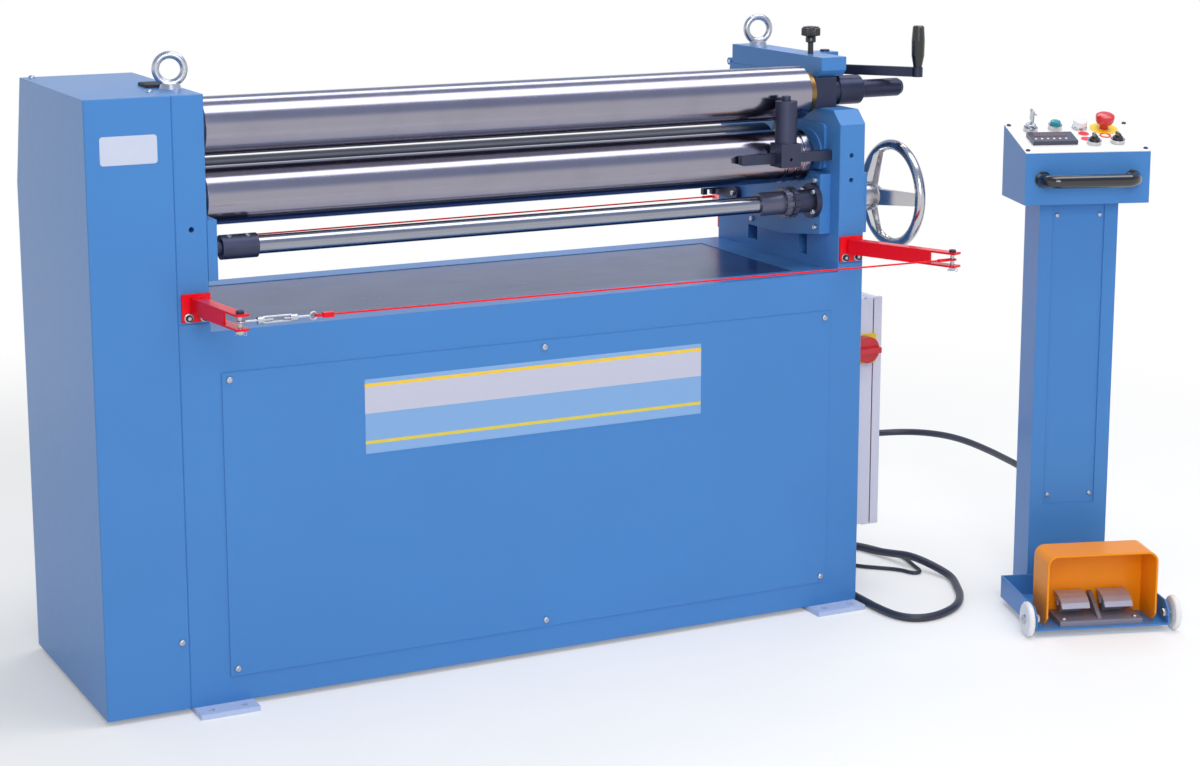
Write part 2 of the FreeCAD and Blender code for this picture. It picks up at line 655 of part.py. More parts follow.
# ---- pinch drive -----------------------------------------------------------------------------------------------------------
def pinch_drive():
    block_x1 = -half_span + rod_block_t
    left_block = box(-half_span, block_x1, front_y, front_y + rod_block_w, rod_z - rod_block_low,
                     rod_z + rod_block_high)
    left_block = left_block.cut(rod_x(-half_span - 1, block_x1 + 1, rod_y, rod_z, stub_r + run_clear))
    housings.append(left_block)
    stub = rod_x(-end_x + 5, left_sleeve_x0 + 30, rod_y, rod_z, stub_r)
    sleeve = rod_x(left_sleeve_x0, left_sleeve_x0 + sleeve_len, rod_y, rod_z, sleeve_r)
    sleeve = sleeve.cut(rod_x(left_sleeve_x0 - 1, left_sleeve_x0 + 31, rod_y, rod_z, stub_r))
    sleeve = sleeve.cut(rod_x(left_sleeve_x0 + 30, left_sleeve_x0 + sleeve_len + 1, rod_y, rod_z, rod_r))
    rod = rod_x(left_sleeve_x0 + 30, rod_x1, rod_y, rod_z, rod_r)
    save(group([rod, stub, sleeve]), "connecting_rod")
    ring = rod_x(clutch_x0, clutch_x0 + clutch_body, rod_y, rod_z, sleeve_r + 1)
    collar_x0 = clutch_x0 + clutch_body
    ring = ring.fuse(notched_collar(collar_x0, collar_x0 + clutch_collar))
    ring = ring.cut(rod_x(clutch_x0 - 1, rod_x1 + 1, rod_y, rod_z, rod_r + run_clear))
    ring = ring.fuse(clutch_ring_teeth(rod_x1, clutch_tooth_h, 0.0))
    save(ring.removeSplitter(), "clutch_half")
    hub_x0 = rod_x1 + clutch_tooth_h + side_clear
    hub = notched_collar(hub_x0, hub_x0 + clutch_collar)
    hub = hub.fuse(rod_x(hub_x0 + clutch_collar, flange_x0 - side_clear, rod_y, rod_z, sleeve_r + 1))
    hub = hub.cut(rod_x(hub_x0 - 1, flange_x0, rod_y, rod_z, stub_r))
    hub = hub.fuse(clutch_ring_teeth(hub_x0 - clutch_tooth_h, clutch_tooth_h, 0.5))
    flange = rod_x(flange_x0, flange_x0 + rod_flange_t, rod_y, rod_z, rod_flange_r)
    flange = flange.cut(rod_x(flange_x0 - 1, flange_x0 + rod_flange_t + 1, rod_y, rod_z, stub_r + run_clear))
    housings.append(flange)
    bolt_circle = rod_flange_r - 7
    for i in range(4):
        angle = math.radians(45 + 90 * i)
        y = rod_y + bolt_circle * math.cos(angle)
        z = rod_z + bolt_circle * math.sin(angle)
        fasteners.append(rod_x(flange_x0 - 5, flange_x0, y, z, 4.5))
    shaft_end = wheel_x - wheel_dish + wheel_hub_len
    shaft = rod_x(hub_x0, shaft_end, rod_y, rod_z, stub_r)
    nut = hex_prism((1, 0, 0), (shaft_end, rod_y, rod_z), 24, 8)
    save(group([shaft, hub.removeSplitter(), nut]), "handwheel_shaft")
    plate_x1 = end_x + handwheel_plate_t
    plate = box(end_x, plate_x1, front_y + 10, front_y + 10 + handwheel_plate_w, rod_z - handwheel_plate_low,
                rod_z + handwheel_plate_high)
    plate = plate.cut(rod_x(end_x - 1, plate_x1 + 1, rod_y, rod_z, stub_r + run_clear))
    housings.append(plate)


def notched_collar(x0, x1):
    """Collar of the clutch with small notches round its rim."""
    collar = rod_x(x0, x1, rod_y, rod_z, clutch_r)
    for i in range(clutch_notches):
        angle = 2 * math.pi * (i + 0.5) / clutch_notches
        y = rod_y + clutch_r * math.cos(angle)
        z = rod_z + clutch_r * math.sin(angle)
        collar = collar.cut(rod_x(x0 - 1, x1 + 1, y, z, clutch_notch_r))
    return collar


def clutch_ring_teeth(x0, height, phase):
    """Ring of square clutch teeth standing along X."""
    teeth = []
    step = 360.0 / clutch_teeth
    for i in range(clutch_teeth):
        wedge = rod_x(x0, x0 + height, rod_y, rod_z, clutch_r - clutch_notch_r - 0.5)
        wedge = wedge.cut(rod_x(x0 - 1, x0 + height + 1, rod_y, rod_z, clutch_r - 10))
        reach = clutch_r + 8
        middle = math.radians((i + phase) * step)
        half = math.radians(step * 0.22)
        pie = [(rod_y, rod_z)]
        for angle in (middle - half, middle + half):
            pie.append((rod_y + reach * math.cos(angle), rod_z + reach * math.sin(angle)))
        teeth.append(wedge.common(prism_x(pie, x0 - 1, x0 + height + 1)))
    result = teeth[0]
    for tooth in teeth[1:]:
        result = result.fuse(tooth)
    return result


def gear_plate():
    x0, x1 = half_span - gear_plate_t, half_span
    outline = [(35, -68), (35, 57), (110, 57), (110, 32), (325, -68), (325, -88), (190, -88)]
    plate = prism_x([(front_y + dy, rod_z + dz) for dy, dz in outline], x0, x1)
    plate = plate.cut(rod_x(x0 - 1, x1 + 1, rod_y, rod_z, stub_r + run_clear))
    housings.append(plate)
    for dy, dz in ((308, -73), (50, -55), (50, 43), (96, 43)):
        fasteners.append(rod_x(x0 - 5, x0, front_y + dy, rod_z + dz, 5.0))


def rear_stop():
    """Bracket with two lugs on the right upright's inner face, under the rear roll, and its bolt."""
    x1 = half_span
    plate = box(x1 - 12, x1, back_y - 100, back_y - 8, stop_z - 28, stop_z)
    front = edges_where(plate, lambda c, e: abs(c.y - back_y + 100) < 0.1 and e.BoundBox.XLength > 11)
    plate = plate.makeFillet(13, front)
    plate = plate.fuse(box(x1 - 50, x1 - 6, back_y - 20, back_y - 8, stop_z - 14, stop_z))
    for x in (x1 - 46, x1 - 24):
        plate = plate.fuse(box(x - 5, x + 5, back_y - 20, back_y - 8, stop_z - 25, stop_z - 13))
    housings.append(plate.removeSplitter())
    fasteners.append(rod_x(x1 - 17, x1 - 12, back_y - 86, stop_z - 14, 5.0))


# ---- handwheel ---------------------------------------------------------------------------------------------------------------
def handwheel():
    rim = Part.makeTorus(wheel_r - wheel_rim_r, wheel_rim_r, Vector(wheel_x, rod_y, rod_z), Vector(1, 0, 0))
    for i in range(24):
        angle = math.radians(15 * i + 7.5)
        inner = wheel_r - 2 * wheel_rim_r - 6.5
        place = Vector(wheel_x, rod_y + inner * math.cos(angle), rod_z + inner * math.sin(angle))
        rim = rim.cut(Part.makeSphere(10.0, place))
    wheel = rim
    for direction in wheel_arm_dirs:
        arm = wheel_arm()
        arm.rotate(Vector(0, rod_y, rod_z), Vector(1, 0, 0), direction)
        wheel = wheel.fuse(arm)
    x0 = wheel_x - wheel_dish
    x1 = x0 + wheel_hub_len
    hub = revolve_x([(x0, wheel_hub_r - 3), (x0 + 3, wheel_hub_r), (x1 - 20, wheel_hub_r - 2), (x1 - 4, 22.0),
                     (x1, 18.0)], rod_y, rod_z)
    wheel = wheel.fuse(hub)
    wheel = wheel.cut(rod_x(x0 - 1, wheel_x + 30, rod_y, rod_z, stub_r))
    save(wheel, "handwheel")


def wheel_arm():
    """Flat tapered arm from the hub to the rim, dished outwards, along +Y of the axis."""
    root_x = wheel_x - wheel_dish + wheel_hub_len - 16
    sections = []
    for radius, x, thick, width in ((16.0, root_x, 17.0, 34.0), (wheel_r - wheel_rim_r, wheel_x - 1, 11.0, 25.0)):
        corners = [(x - thick / 2, -width / 2), (x + thick / 2, -width / 2), (x + thick / 2, width / 2),
                   (x - thick / 2, width / 2), (x - thick / 2, -width / 2)]
        sections.append(Part.makePolygon([Vector(px, rod_y + radius, rod_z + pz) for px, pz in corners]))
    return Part.makeLoft(sections, True, True)


# ---- cap and its screw ----------------------------------------------------------------------------------------------------------
def hinge_lug(x0, x1, y_end, z0, z1):
    """Rounded lug on the hinge axis, joined to the plate at y_end."""
    lug = rod_x(x0, x1, hinge_y, hinge_z, hinge_lug_r)
    return lug.fuse(box(x0, x1, min(y_end, hinge_y), max(y_end, hinge_y), z0, z1))


def top_cap():
    x0, x1 = half_span, end_x - side_clear
    outline = [(cap_front_y, cap_z0 + 14), (cap_front_y, cap_z1), (cap_rear_y, cap_z1), (cap_rear_y, cap_z0 + 0.5),
               (cap_front_y + 14, cap_z0)]
    cap = prism_x(outline, x0, x1)
    lug_x0 = hinge_x - hinge_lug_w / 2
    lug_x1 = hinge_x + hinge_lug_w / 2
    cap = cap.fuse(hinge_lug(lug_x0, lug_x1, cap_rear_y - 1, cap_z0 + 0.5, hinge_z + hinge_lug_r))
    cap = cap.cut(rod_x(lug_x0 - 1, lug_x1 + 1, hinge_y, hinge_z, hinge_pin_r + run_clear))
    cap = cap.cut(rod_z_axis(cap_z0 - 1, cap_z1 + 1, hinge_x, cap_knob_y, knob_screw_r + run_clear))
    save(cap.removeSplitter(), "top_cap")
    eye = lifting_eye(hinge_x, front_y + cap_eye_inset, cap_z1)
    save(eye, "cap_lifting_eye")
    save(lifting_eye(-end_x + 36, front_y + 118, machine_top), "left_lifting_eye")
    fasteners.append(rod_x(half_span + 1, end_x - 1, hinge_y, hinge_z, hinge_pin_r))
    knob = revolve_z([(knob_screw_r, cap_z0 + 0.3), (knob_screw_r, cap_z1 + 24), (11.0, cap_z1 + 24),
                      (11.0, cap_z1 + 34), (20.0, cap_z1 + 38), (20.0, cap_z1 + 54), (17.0, cap_z1 + 57)],
                     hinge_x, cap_knob_y)
    save(knob, "cap_knob_screw")


def lifting_eye(x, y, z):
    """Forged eye bolt: collar, neck and ring facing the front."""
    centre_z = z + 10 + eye_ring_r
    eye = Part.makeTorus(eye_ring_r, eye_bar_r, Vector(x, y, centre_z), Vector(0.2, 1, 0))
    collar = Part.makeCone(21.0, 17.0, 10.0, Vector(x, y, z), Vector(0, 0, 1))
    return eye.fuse(collar)


# ---- crank of the rear roll --------------------------------------------------------------------------------------------------------
def rear_crank():
    pieces = [box(end_x, crank_x + 20, crank_y - 22, crank_y + 22, cap_z1 - 22, cap_z1),
              box(end_x, crank_x + 20, crank_y - 22, crank_y + 22, crank_foot_z, crank_foot_z + crank_foot_h)]
    hole = rod_z_axis(crank_foot_z - 5, cap_z1 + 1, crank_x, crank_y, 10.0 + run_clear)
    for piece in pieces:
        housings.append(piece.cut(hole))
    spindle = rod_z_axis(crank_foot_z - 5, cap_z1 + 4, crank_x, crank_y, 10.0)
    turn = math.radians(crank_dir_deg)
    tip = Vector(crank_x + crank_r * math.cos(turn), crank_y + crank_r * math.sin(turn), crank_z)
    hub = rod_z_axis(crank_z - 12, crank_z + 12, crank_x, crank_y, 17.0)
    arm = Part.makeBox(crank_r, 12, 20, Vector(0, -6, crank_z - 10))
    arm.Placement = FreeCAD.Placement(Vector(crank_x, crank_y, 0), FreeCAD.Rotation(Vector(0, 0, 1), crank_dir_deg))
    boss = rod_z_axis(crank_z - 10, crank_z + 10, tip.x, tip.y, 11.0)
    arm = hub.fuse(arm).fuse(boss).cut(rod_z_axis(crank_z - 20, crank_z + 20, crank_x, crank_y, 10.0))
    pin = rod_z_axis(crank_z + 10, crank_z + 88, tip.x, tip.y, 5.0)
    save(group([arm.fuse(pin), spindle]), "crank_arm")
    grip = revolve_z([(9.0, crank_z + 10.5), (13.5, crank_z + 34), (14.0, crank_z + 66), (12.0, crank_z + 94),
                      (9.0, crank_z + 97)], tip.x, tip.y)
    grip = grip.cut(rod_z_axis(crank_z + 9, crank_z + 88.5, tip.x, tip.y, 5.0 + run_clear))
    save(grip, "crank_grip")


# ---- cone rolling guide ----------------------------------------------------------------------------------------------------------------
def cone_guide():
    half = cone_bar / 2
    bar = box(cone_x - cone_reach, half_span, cone_y + 12 - half, cone_y + 12 + half, cone_bar_z - half,
              cone_bar_z + half)
    ends = edges_where(bar, lambda c, e: e.BoundBox.XLength < 0.1 and c.x < cone_x)
    bar = bar.makeChamfer(3, ends)
    save(bar, "cone_guide_bar")
    size = 46.0
    slider = box(cone_x - size / 2, cone_x + size / 2, cone_y - size / 2, cone_y + size / 2,
                 cone_bar_z - 16, cone_bar_z + 32)
    slider = slider.cut(box(cone_x - size, cone_x + size, cone_y + 12 - half - run_clear, cone_y + 12 + half + run_clear,
                            cone_bar_z - half - run_clear, cone_bar_z + half + run_clear))
    slider = slider.cut(rod_y_axis(cone_y - size, cone_y - size / 2 + 12, cone_x, cone_bar_z, 3.5))
    slider = slider.fuse(rod_z_axis(cone_bar_z + 32, cone_bar_z + 128, cone_x, cone_y, 9.0))
    save(slider, "cone_guide_block")
    roller = rod_z_axis(cone_bar_z + 32.5, cone_bar_z + 118, cone_x, cone_y, 22.5)
    roller = roller.cut(rod_z_axis(cone_bar_z + 30, cone_bar_z + 120, cone_x, cone_y, 9.0 + run_clear))
    save(roller, "cone_guide_roller")


# ---- electrical cabinet -------------------------------------------------------------------------------------------------------------------
def electrical_cabinet():
    x1 = cab_x0 + cab_depth - door_t - door_gap
    y1 = cab_y0 + cab_w
    z1 = cab_z0 + cab_h
    case = box(cab_x0, x1, cab_y0, y1, cab_z0, z1)
    case = case.cut(box(cab_x0 + cab_wall, x1 + 1, cab_y0 + cab_wall, y1 - cab_wall, cab_z0 + cab_wall, z1 - cab_wall))
    case = case.cut(rod_y_axis(cab_y0 - 1, cab_y0 + cab_wall + 1, switch_x, switch_z, 8.0 + run_clear))
    hinge_at_x = x1 + door_gap + door_t - 5
    hinge_at_y = cab_y0 + 5
    for z_in, z_out in ((cab_z0, cab_z0 - hinge_tab), (z1, z1 + hinge_tab)):
        inward = 1 if z_in > z_out else -1
        tab = box(x1 - 17, hinge_at_x + 5, cab_y0, cab_y0 + 10, min(z_in, z_out), max(z_in, z_out))
        pin = rod_along((0, 0, inward), (hinge_at_x, hinge_at_y, z_out), door_pin_r, hinge_tab + door_pin_len)
        case = case.fuse(tab).fuse(pin)
    save(case.removeSplitter(), "cabinet_case")
    rim = 14.0
    gasket = box(x1, x1 + door_gap - 0.2, cab_y0 + 2, y1 - 2, cab_z0 + 2, z1 - 2)
    gasket = gasket.cut(box(x1 - 1, x1 + door_gap + 1, cab_y0 + rim, y1 - rim, cab_z0 + rim, z1 - rim))
    door = box(x1 + door_gap, x1 + door_gap + door_t, cab_y0, y1, cab_z0 + door_play, z1 - door_play)
    door = door.cut(box(x1 + door_gap - 1, x1 + door_gap + door_t - cab_wall, cab_y0 + cab_wall, y1 - cab_wall,
                        cab_z0 + cab_wall + door_play, z1 - cab_wall - door_play))
    for z0 in (cab_z0, z1 - door_pin_len - 4):
        boss = box(hinge_at_x - 6, hinge_at_x + 4, cab_y0 + 1, cab_y0 + 11, z0 + door_play,
                   z0 + door_pin_len + 4 - door_play)
        door = door.fuse(boss)
    for z0 in (cab_z0 - 1, z1 - door_pin_len - 1):
        door = door.cut(rod_z_axis(z0, z0 + door_pin_len + 2, hinge_at_x, hinge_at_y, door_pin_r + run_clear))
    door = door.removeSplitter()
    save(group([door, gasket]), "cabinet_door")
    half = switch_plate / 2
    plate = box(switch_x - half, switch_x + half, cab_y0 - 3, cab_y0, switch_z - half, switch_z + half)
    plate = plate.cut(rod_y_axis(cab_y0 - 4, cab_y0 + 1, switch_x, switch_z, 8.0 + run_clear))
    fittings.append(plate)
    knob = rod_y_axis(cab_y0 - 21, cab_y0 - 3 - side_clear, switch_x, switch_z, switch_r)
    knob = knob.fuse(box(switch_x - 27, switch_x + 27, cab_y0 - 33, cab_y0 - 20, switch_z - 6, switch_z + 6))
    knob = knob.fuse(rod_y_axis(cab_y0 - 4, cab_y0 + 40, switch_x, switch_z, 8.0))
    save(knob, "main_switch_knob")


def switchgear():
    """Mounting plate on the cabinet's back wall, with rails, contactors, relays, transformer and terminals."""
    x0 = cab_x0 + cab_wall
    x1 = x0 + 3
    gear = [box(x0, x1, cab_y0 + 20, cab_y0 + cab_w - 20, cab_z0 + 25, cab_z0 + cab_h - 25)]
    rail_y0, rail_y1 = cab_y0 + 40, cab_y0 + cab_w - 30
    rail_x1 = x1 + 7.5
    for rail_z in (cab_z0 + 90, cab_z0 + 215, cab_z0 + 350):
        gear.append(box(x1, rail_x1, rail_y0, rail_y1, rail_z - 17.5, rail_z + 17.5))
    for i in range(3):
        y = rail_y0 + 10 + i * 62
        contactor = box(rail_x1, rail_x1 + 48, y, y + 45, cab_z0 + 310, cab_z0 + 390)
        gear.append(contactor.fuse(box(rail_x1 + 47, rail_x1 + 62, y + 6, y + 39, cab_z0 + 328, cab_z0 + 372)))
    for i in range(5):
        y = rail_y0 + 10 + i * 24
        gear.append(box(rail_x1, rail_x1 + 44, y, y + 18, cab_z0 + 172, cab_z0 + 258))
    for i in range(16):
        y = rail_y0 + 10 + i * 8.2
        gear.append(box(rail_x1, rail_x1 + 32, y, y + 8, cab_z0 + 68, cab_z0 + 112))
    gear.append(box(x1, x1 + 60, rail_y1 - 70, rail_y1 - 2, cab_z0 + 122, cab_z0 + 192))
    save(group(gear), "switchgear")


# ---- console ----------------------------------------------------------------------------------------------------------------------------------
con_track = tray_w + 2 * con_wheel_gap + con_wheel_w
console_place = FreeCAD.Placement(Vector(con_x, con_y, 0), FreeCAD.Rotation(Vector(0, 0, 1), con_turn))


def on_console(shape):
    """Move a shape from the console's own frame to its place on the floor."""
    moved = shape.copy()
    moved.Placement = console_place.multiply(moved.Placement)
    return moved


panel_slope = math.degrees(math.atan2(box_back_z - box_front_z, box_back - box_front))
panel_normal = (0.0, -math.sin(math.radians(panel_slope)), math.cos(math.radians(panel_slope)))


def panel_point(x, across, lift):
    """Point over the control plate: x along it, across from its front edge, lift along its normal."""
    tilt = math.radians(panel_slope)
    y = box_front + across * math.cos(tilt) - lift * math.sin(tilt)
    z = box_front_z + across * math.sin(tilt) + lift * math.cos(tilt)
    return (x, y, z)


def panel_rod(x, across, low, high, radius):
    return rod_along(panel_normal, panel_point(x, across, low), radius, high - low)


plate_holes = []


def console():
    column = box(-col_w / 2, col_w / 2, 0, col_d, 0, col_h)
    column = column.cut(box(-col_w / 2 + col_t, col_w / 2 - col_t, col_t, col_d - col_t, col_t, col_h + 1))
    column = column.cut(box(-lid_half, lid_half, -1, col_t + 1, lid_low, col_h - lid_top))
    lid = box(-lid_half - 10, lid_half + 10, col_t, col_t + panel_t, lid_low - 10, col_h - lid_top + 5)
    panels.append(on_console(lid))
    for x in (-lid_half + 10, lid_half - 10):
        for z in (lid_low + 20, col_h - 30):
            fasteners.append(on_console(rod_y_axis(col_t - 2.5, col_t, x, z, 4.0)))
    outline = [(box_front, col_h), (box_front, box_front_z), (box_back, box_back_z), (box_back, col_h)]
    inner = [(box_front + 3, col_h + 3), (box_front + 3, box_front_z), (box_front + 3, box_back_z + 20),
             (box_back - 3, box_back_z + 20), (box_back - 3, col_h + 3)]
    case = prism_x(outline, -box_w / 2, box_w / 2).cut(prism_x(inner, -box_w / 2 + 3, box_w / 2 - 3))
    save(on_console(case), "console_box")
    tilt_len = math.hypot(box_back - box_front, box_back_z - box_front_z)
    plate = Part.makeBox(box_w, tilt_len, plate_t)
    plate.Placement = FreeCAD.Placement(Vector(-box_w / 2, box_front, box_front_z),
                                        FreeCAD.Rotation(Vector(1, 0, 0), panel_slope))
    for x, across, radius in plate_holes:
        plate = plate.cut(panel_rod(x, across, -5, 10, radius))
    save(on_console(plate), "control_plate")
    handle_y = box_front - handle_out
    handle_pts = [(-handle_half, box_front), (-handle_half, handle_y), (handle_half, handle_y),
                  (handle_half, box_front)]
    handle = u_handle(handle_pts, col_h + handle_h, handle_r)
    for x in (-handle_half, handle_half):
        handle = handle.fuse(rod_y_axis(box_front - 5, box_front, x, col_h + handle_h, handle_r + 3))
    save(on_console(handle.removeSplitter()), "console_handle")
    floor = box(-tray_w / 2, tray_w / 2, tray_front, 0, tray_z, tray_z + 3)
    side_outline = [(tray_front, tray_z), (tray_front, tray_z + 30), (tray_front + 22, tray_wall_z), (0, tray_wall_z),
                    (0, tray_z)]
    tray = floor
    for x in (-tray_w / 2, tray_w / 2 - 3):
        tray = tray.fuse(prism_x(side_outline, x, x + 3))
    tray = tray.fuse(box(-tray_w / 2, tray_w / 2, -3, 0, tray_z, tray_wall_z))
    for x in (-tray_w / 2 - 1, tray_w / 2 - 4):
        tray = tray.cut(rod_x(x, x + 5, con_wheel_y + 6, con_wheel_r, 5.0))
    save(on_console(column.fuse(tray).removeSplitter()), "console_stand")
    wheel_parts()


def u_handle(points, z, radius):
    """U handle bent from one bar, with rounded corners, lying at height z."""
    bend = handle_bend
    (x0, y0), (_, y1), (x1, _), _ = points
    start = Vector(x0, y0, z)
    a = Vector(x0, y1 + bend, z)
    b = Vector(x0 + bend, y1, z)
    c = Vector(x1 - bend, y1, z)
    d = Vector(x1, y1 + bend, z)
    finish = Vector(x1, y0, z)
    k = bend * (1 - math.cos(math.radians(45)))
    mid_1 = Vector(x0 + k, y1 + k, z)
    mid_2 = Vector(x1 - k, y1 + k, z)
    edges = [Part.LineSegment(start, a).toShape(), Part.Arc(a, mid_1, b).toShape(), Part.LineSegment(b, c).toShape(),
             Part.Arc(c, mid_2, d).toShape(), Part.LineSegment(d, finish).toShape()]
    path = Part.Wire(edges)
    profile = Part.Wire([Part.makeCircle(radius, start, Vector(0, 1, 0))])
    return path.makePipeShell([profile], True, False)


def wheel_parts():
    for side, name in ((-1, "left"), (1, "right")):
        middle = side * con_track / 2
        x0 = middle - con_wheel_w / 2
        y = con_wheel_y + 6
        wheel = revolve_x([(x0, con_wheel_r - 3), (x0 + 3, con_wheel_r), (x0 + con_wheel_w - 3, con_wheel_r),
                           (x0 + con_wheel_w, con_wheel_r - 3)], y, con_wheel_r)
        wheel = wheel.cut(rod_x(x0 - 1, x0 + con_wheel_w + 1, y, con_wheel_r, 5.0 + run_clear))
        save(on_console(wheel), name + "_console_wheel")
    for side in (-1, 1):
        inner = side * (tray_w / 2 - 3)
        outer = side * (con_track / 2 + con_wheel_w / 2 + 1)
        x0, x1 = min(inner, outer), max(inner, outer)
        axle = rod_x(x0, x1, con_wheel_y + 6, con_wheel_r, 5.0)
        head_in = hex_prism((1, 0, 0), (inner - 7 if side > 0 else inner, con_wheel_y + 6, con_wheel_r), 16, 7)
        cap = rod_x(min(outer, outer + side * 4), max(outer, outer + side * 4), con_wheel_y + 6, con_wheel_r, 9.0)
        fasteners.append(on_console(axle.fuse(head_in).fuse(cap)))


# ---- console controls -------------------------------------------------------------------------------------------------------------------------------
def control(x, across, profile):
    """Turned control on the plate: profile of (radius, height over the plate)."""
    closed = [(0, plate_t + profile[0][1])] + [(r, plate_t + h) for r, h in profile]
    closed = closed + [(0, closed[-1][1]), closed[0]]
    wire = Part.makePolygon([Vector(r, 0, z) for r, z in closed])
    shaped = Part.Face(wire).revolve(Vector(0, 0, 0), Vector(0, 0, 1), 360)
    turn = FreeCAD.Rotation(Vector(1, 0, 0), panel_slope)
    shaped.Placement = FreeCAD.Placement(Vector(*panel_point(x, across, 0)), turn)
    return shaped


control_spots = {
    "key": (-88.0, 119.0), "start": (-33.0, 125.0), "lamp": (21.0, 126.0), "stop": (72.0, 120.0),
    "selector_a": (25.0, 42.0), "selector_b": (77.0, 46.0),
}
bezel_heights = {"key": 8.0, "start": 10.0, "selector_a": 8.0, "selector_b": 8.0}


def bezel(spot):
    x, across = control_spots[spot]
    top = plate_t + bezel_heights[spot]
    ring = panel_rod(x, across, plate_t, top, 15.0)
    return ring.cut(panel_rod(x, across, plate_t - 1, top + 1, 11.0 + run_clear))


def console_controls():
    for spot in ("key", "start", "selector_a", "selector_b"):
        fasteners.append(on_console(bezel(spot)))
    x, across = control_spots["start"]
    start = control(x, across, [(9.0, -18), (9.0, 8), (11.0, 8), (11.0, 16), (9.5, 18), (6.0, 19)])
    save(on_console(start), "start_button")
    x, across = control_spots["lamp"]
    lamp = control(x, across, [(9.0, -18), (9.0, 0), (15.0, 0), (15.0, 16), (13.0, 19), (9.0, 20)])
    fittings.append(on_console(lamp))
    x, across = control_spots["stop"]
    disc = panel_rod(x, across, plate_t, plate_t + 1.2, 30.0)
    disc = disc.cut(panel_rod(x, across, plate_t - 1, plate_t + 2, 9.0 + run_clear))
    fittings.append(on_console(disc))
    stop = control(x, across, [(9.0, -18), (9.0, 12), (16.0, 13), (18.5, 17), (20.0, 27), (19.0, 31), (15.0, 33.5),
                              (7.0, 34.5)])
    save(on_console(stop), "emergency_stop")
    for spot in ("selector_a", "selector_b"):
        x, across = control_spots[spot]
        knob = control(x, across, [(9.0, -18), (9.0, 5), (10.8, 5), (10.8, 12), (9.8, 13)])
        bar = Part.makeBox(6, 20, 9, Vector(-3, -10, plate_t + 12))
        bar.Placement = FreeCAD.Placement(Vector(*panel_point(x, across, 0)),
                                          FreeCAD.Rotation(Vector(1, 0, 0), panel_slope))
        save(on_console(knob.fuse(bar)), spot)
    x, across = control_spots["key"]
    barrel = control(x, across, [(9.0, -18), (9.0, 5), (10.8, 5), (10.8, 14), (9.5, 15)])
    bow = Part.makeBox(2.4, 22, 24, Vector(-1.2, -11, plate_t + 22))
    blade = Part.makeBox(2.4, 8, 9, Vector(-1.2, -4, plate_t + 14))
    key = bow.fuse(blade)
    key.Placement = FreeCAD.Placement(Vector(*panel_point(x, across, 0)),
                                      FreeCAD.Rotation(Vector(1, 0, 0), panel_slope))
    save(on_console(barrel.fuse(key)), "key_switch")
    display = Part.makeBox(96, 50, 9, Vector(-107, 38, plate_t))
    display.Placement = FreeCAD.Placement(Vector(0, box_front, box_front_z),
                                          FreeCAD.Rotation(Vector(1, 0, 0), panel_slope))
    fittings.append(on_console(display))


# ---- foot pedal -----------------------------------------------------------------------------------------------------------------------------------------
pedal_z = tray_z + 3
pivot_z = pedal_z + pedal_pivot_h


def pedal(middle):
    """Curved pad with two ears on its pivot pin."""
    pad_outline = [(24, 30), (30, 40), (42, 48), (58, 53), (80, 54), (80, 48), (60, 47), (46, 42), (36, 35), (30, 27)]
    pad = prism_x([(hood_front + dy, pedal_z + dz) for dy, dz in pad_outline], middle - pedal_half,
                  middle + pedal_half)
    for side in (-1, 1):
        inner = middle + side * (post_half + 1)
        outer = inner + side * 4
        ear = prism_x([(pedal_pivot_y - 6, pivot_z - 6), (pedal_pivot_y + 6, pivot_z - 6),
                       (pedal_pivot_y + 6, pedal_z + 48), (pedal_pivot_y - 6, pedal_z + 50)],
                      min(inner, outer), max(inner, outer))
        pad = pad.fuse(ear)
    bore = rod_x(middle - pedal_half, middle + pedal_half, pedal_pivot_y, pivot_z, pedal_pin_r + run_clear)
    return pad.cut(bore).removeSplitter()


def foot_pedal():
    base_back = hood_back - hood_t - 2
    base = box(-88, 88, hood_front - 2, base_back, pedal_z, pedal_z + 12)
    for x in (-76, 76):
        fasteners.append(on_console(rod_z_axis(pedal_z + 12, pedal_z + 15, x, hood_front + 12, 5.0)))
    fin = prism_x([(hood_front + 6, pedal_z + 11), (base_back - 12, pedal_z + 50), (base_back, pedal_z + 50),
                   (base_back, pedal_z + 11)], -4, 4)
    base = base.fuse(fin)
    for side in (-1, 1):
        middle = side * pedal_pitch
        post = box(middle - post_half, middle + post_half, post_y0, post_y1, pedal_z + 11, pedal_z + 40)
        pin = rod_x(middle - post_half - 7, middle + post_half + 7, pedal_pivot_y, pivot_z, pedal_pin_r)
        base = base.fuse(post).cut(pin)
        fasteners.append(on_console(pin))
    save(on_console(base.removeSplitter()), "pedal_base")
    for side, name in ((-1, "left_pedal"), (1, "right_pedal")):
        middle = side * pedal_pitch
        save(on_console(pedal(middle)), name)
    hood()


def hood():
    y0, y1 = hood_front, hood_back
    z0, z1 = pedal_z, pedal_z + hood_h
    outer = box(-hood_w / 2, hood_w / 2, y0, y1, z0, z1)
    corner = edges_where(outer, lambda c, e: abs(abs(c.x) - hood_w / 2) < 1 and abs(c.z - z1) < 1)
    outer = outer.makeFillet(22, corner)
    inner = box(-hood_w / 2 + hood_t, hood_w / 2 - hood_t, y0 - 10, y1 - hood_t, z0 - 10, z1 - hood_t)
    corner = edges_where(inner, lambda c, e: abs(abs(c.x) - hood_w / 2 + hood_t) < 1 and abs(c.z - z1 + hood_t) < 1)
    inner = inner.makeFillet(18, corner)
    corner_cut = prism_x([(y0 - 1, z0 - 1), (y0 + hood_corner, z0 - 1), (y0 - 1, z0 + hood_corner)],
                         -hood_w, hood_w)
    save(on_console(outer.cut(inner).cut(corner_cut)), "pedal_hood")


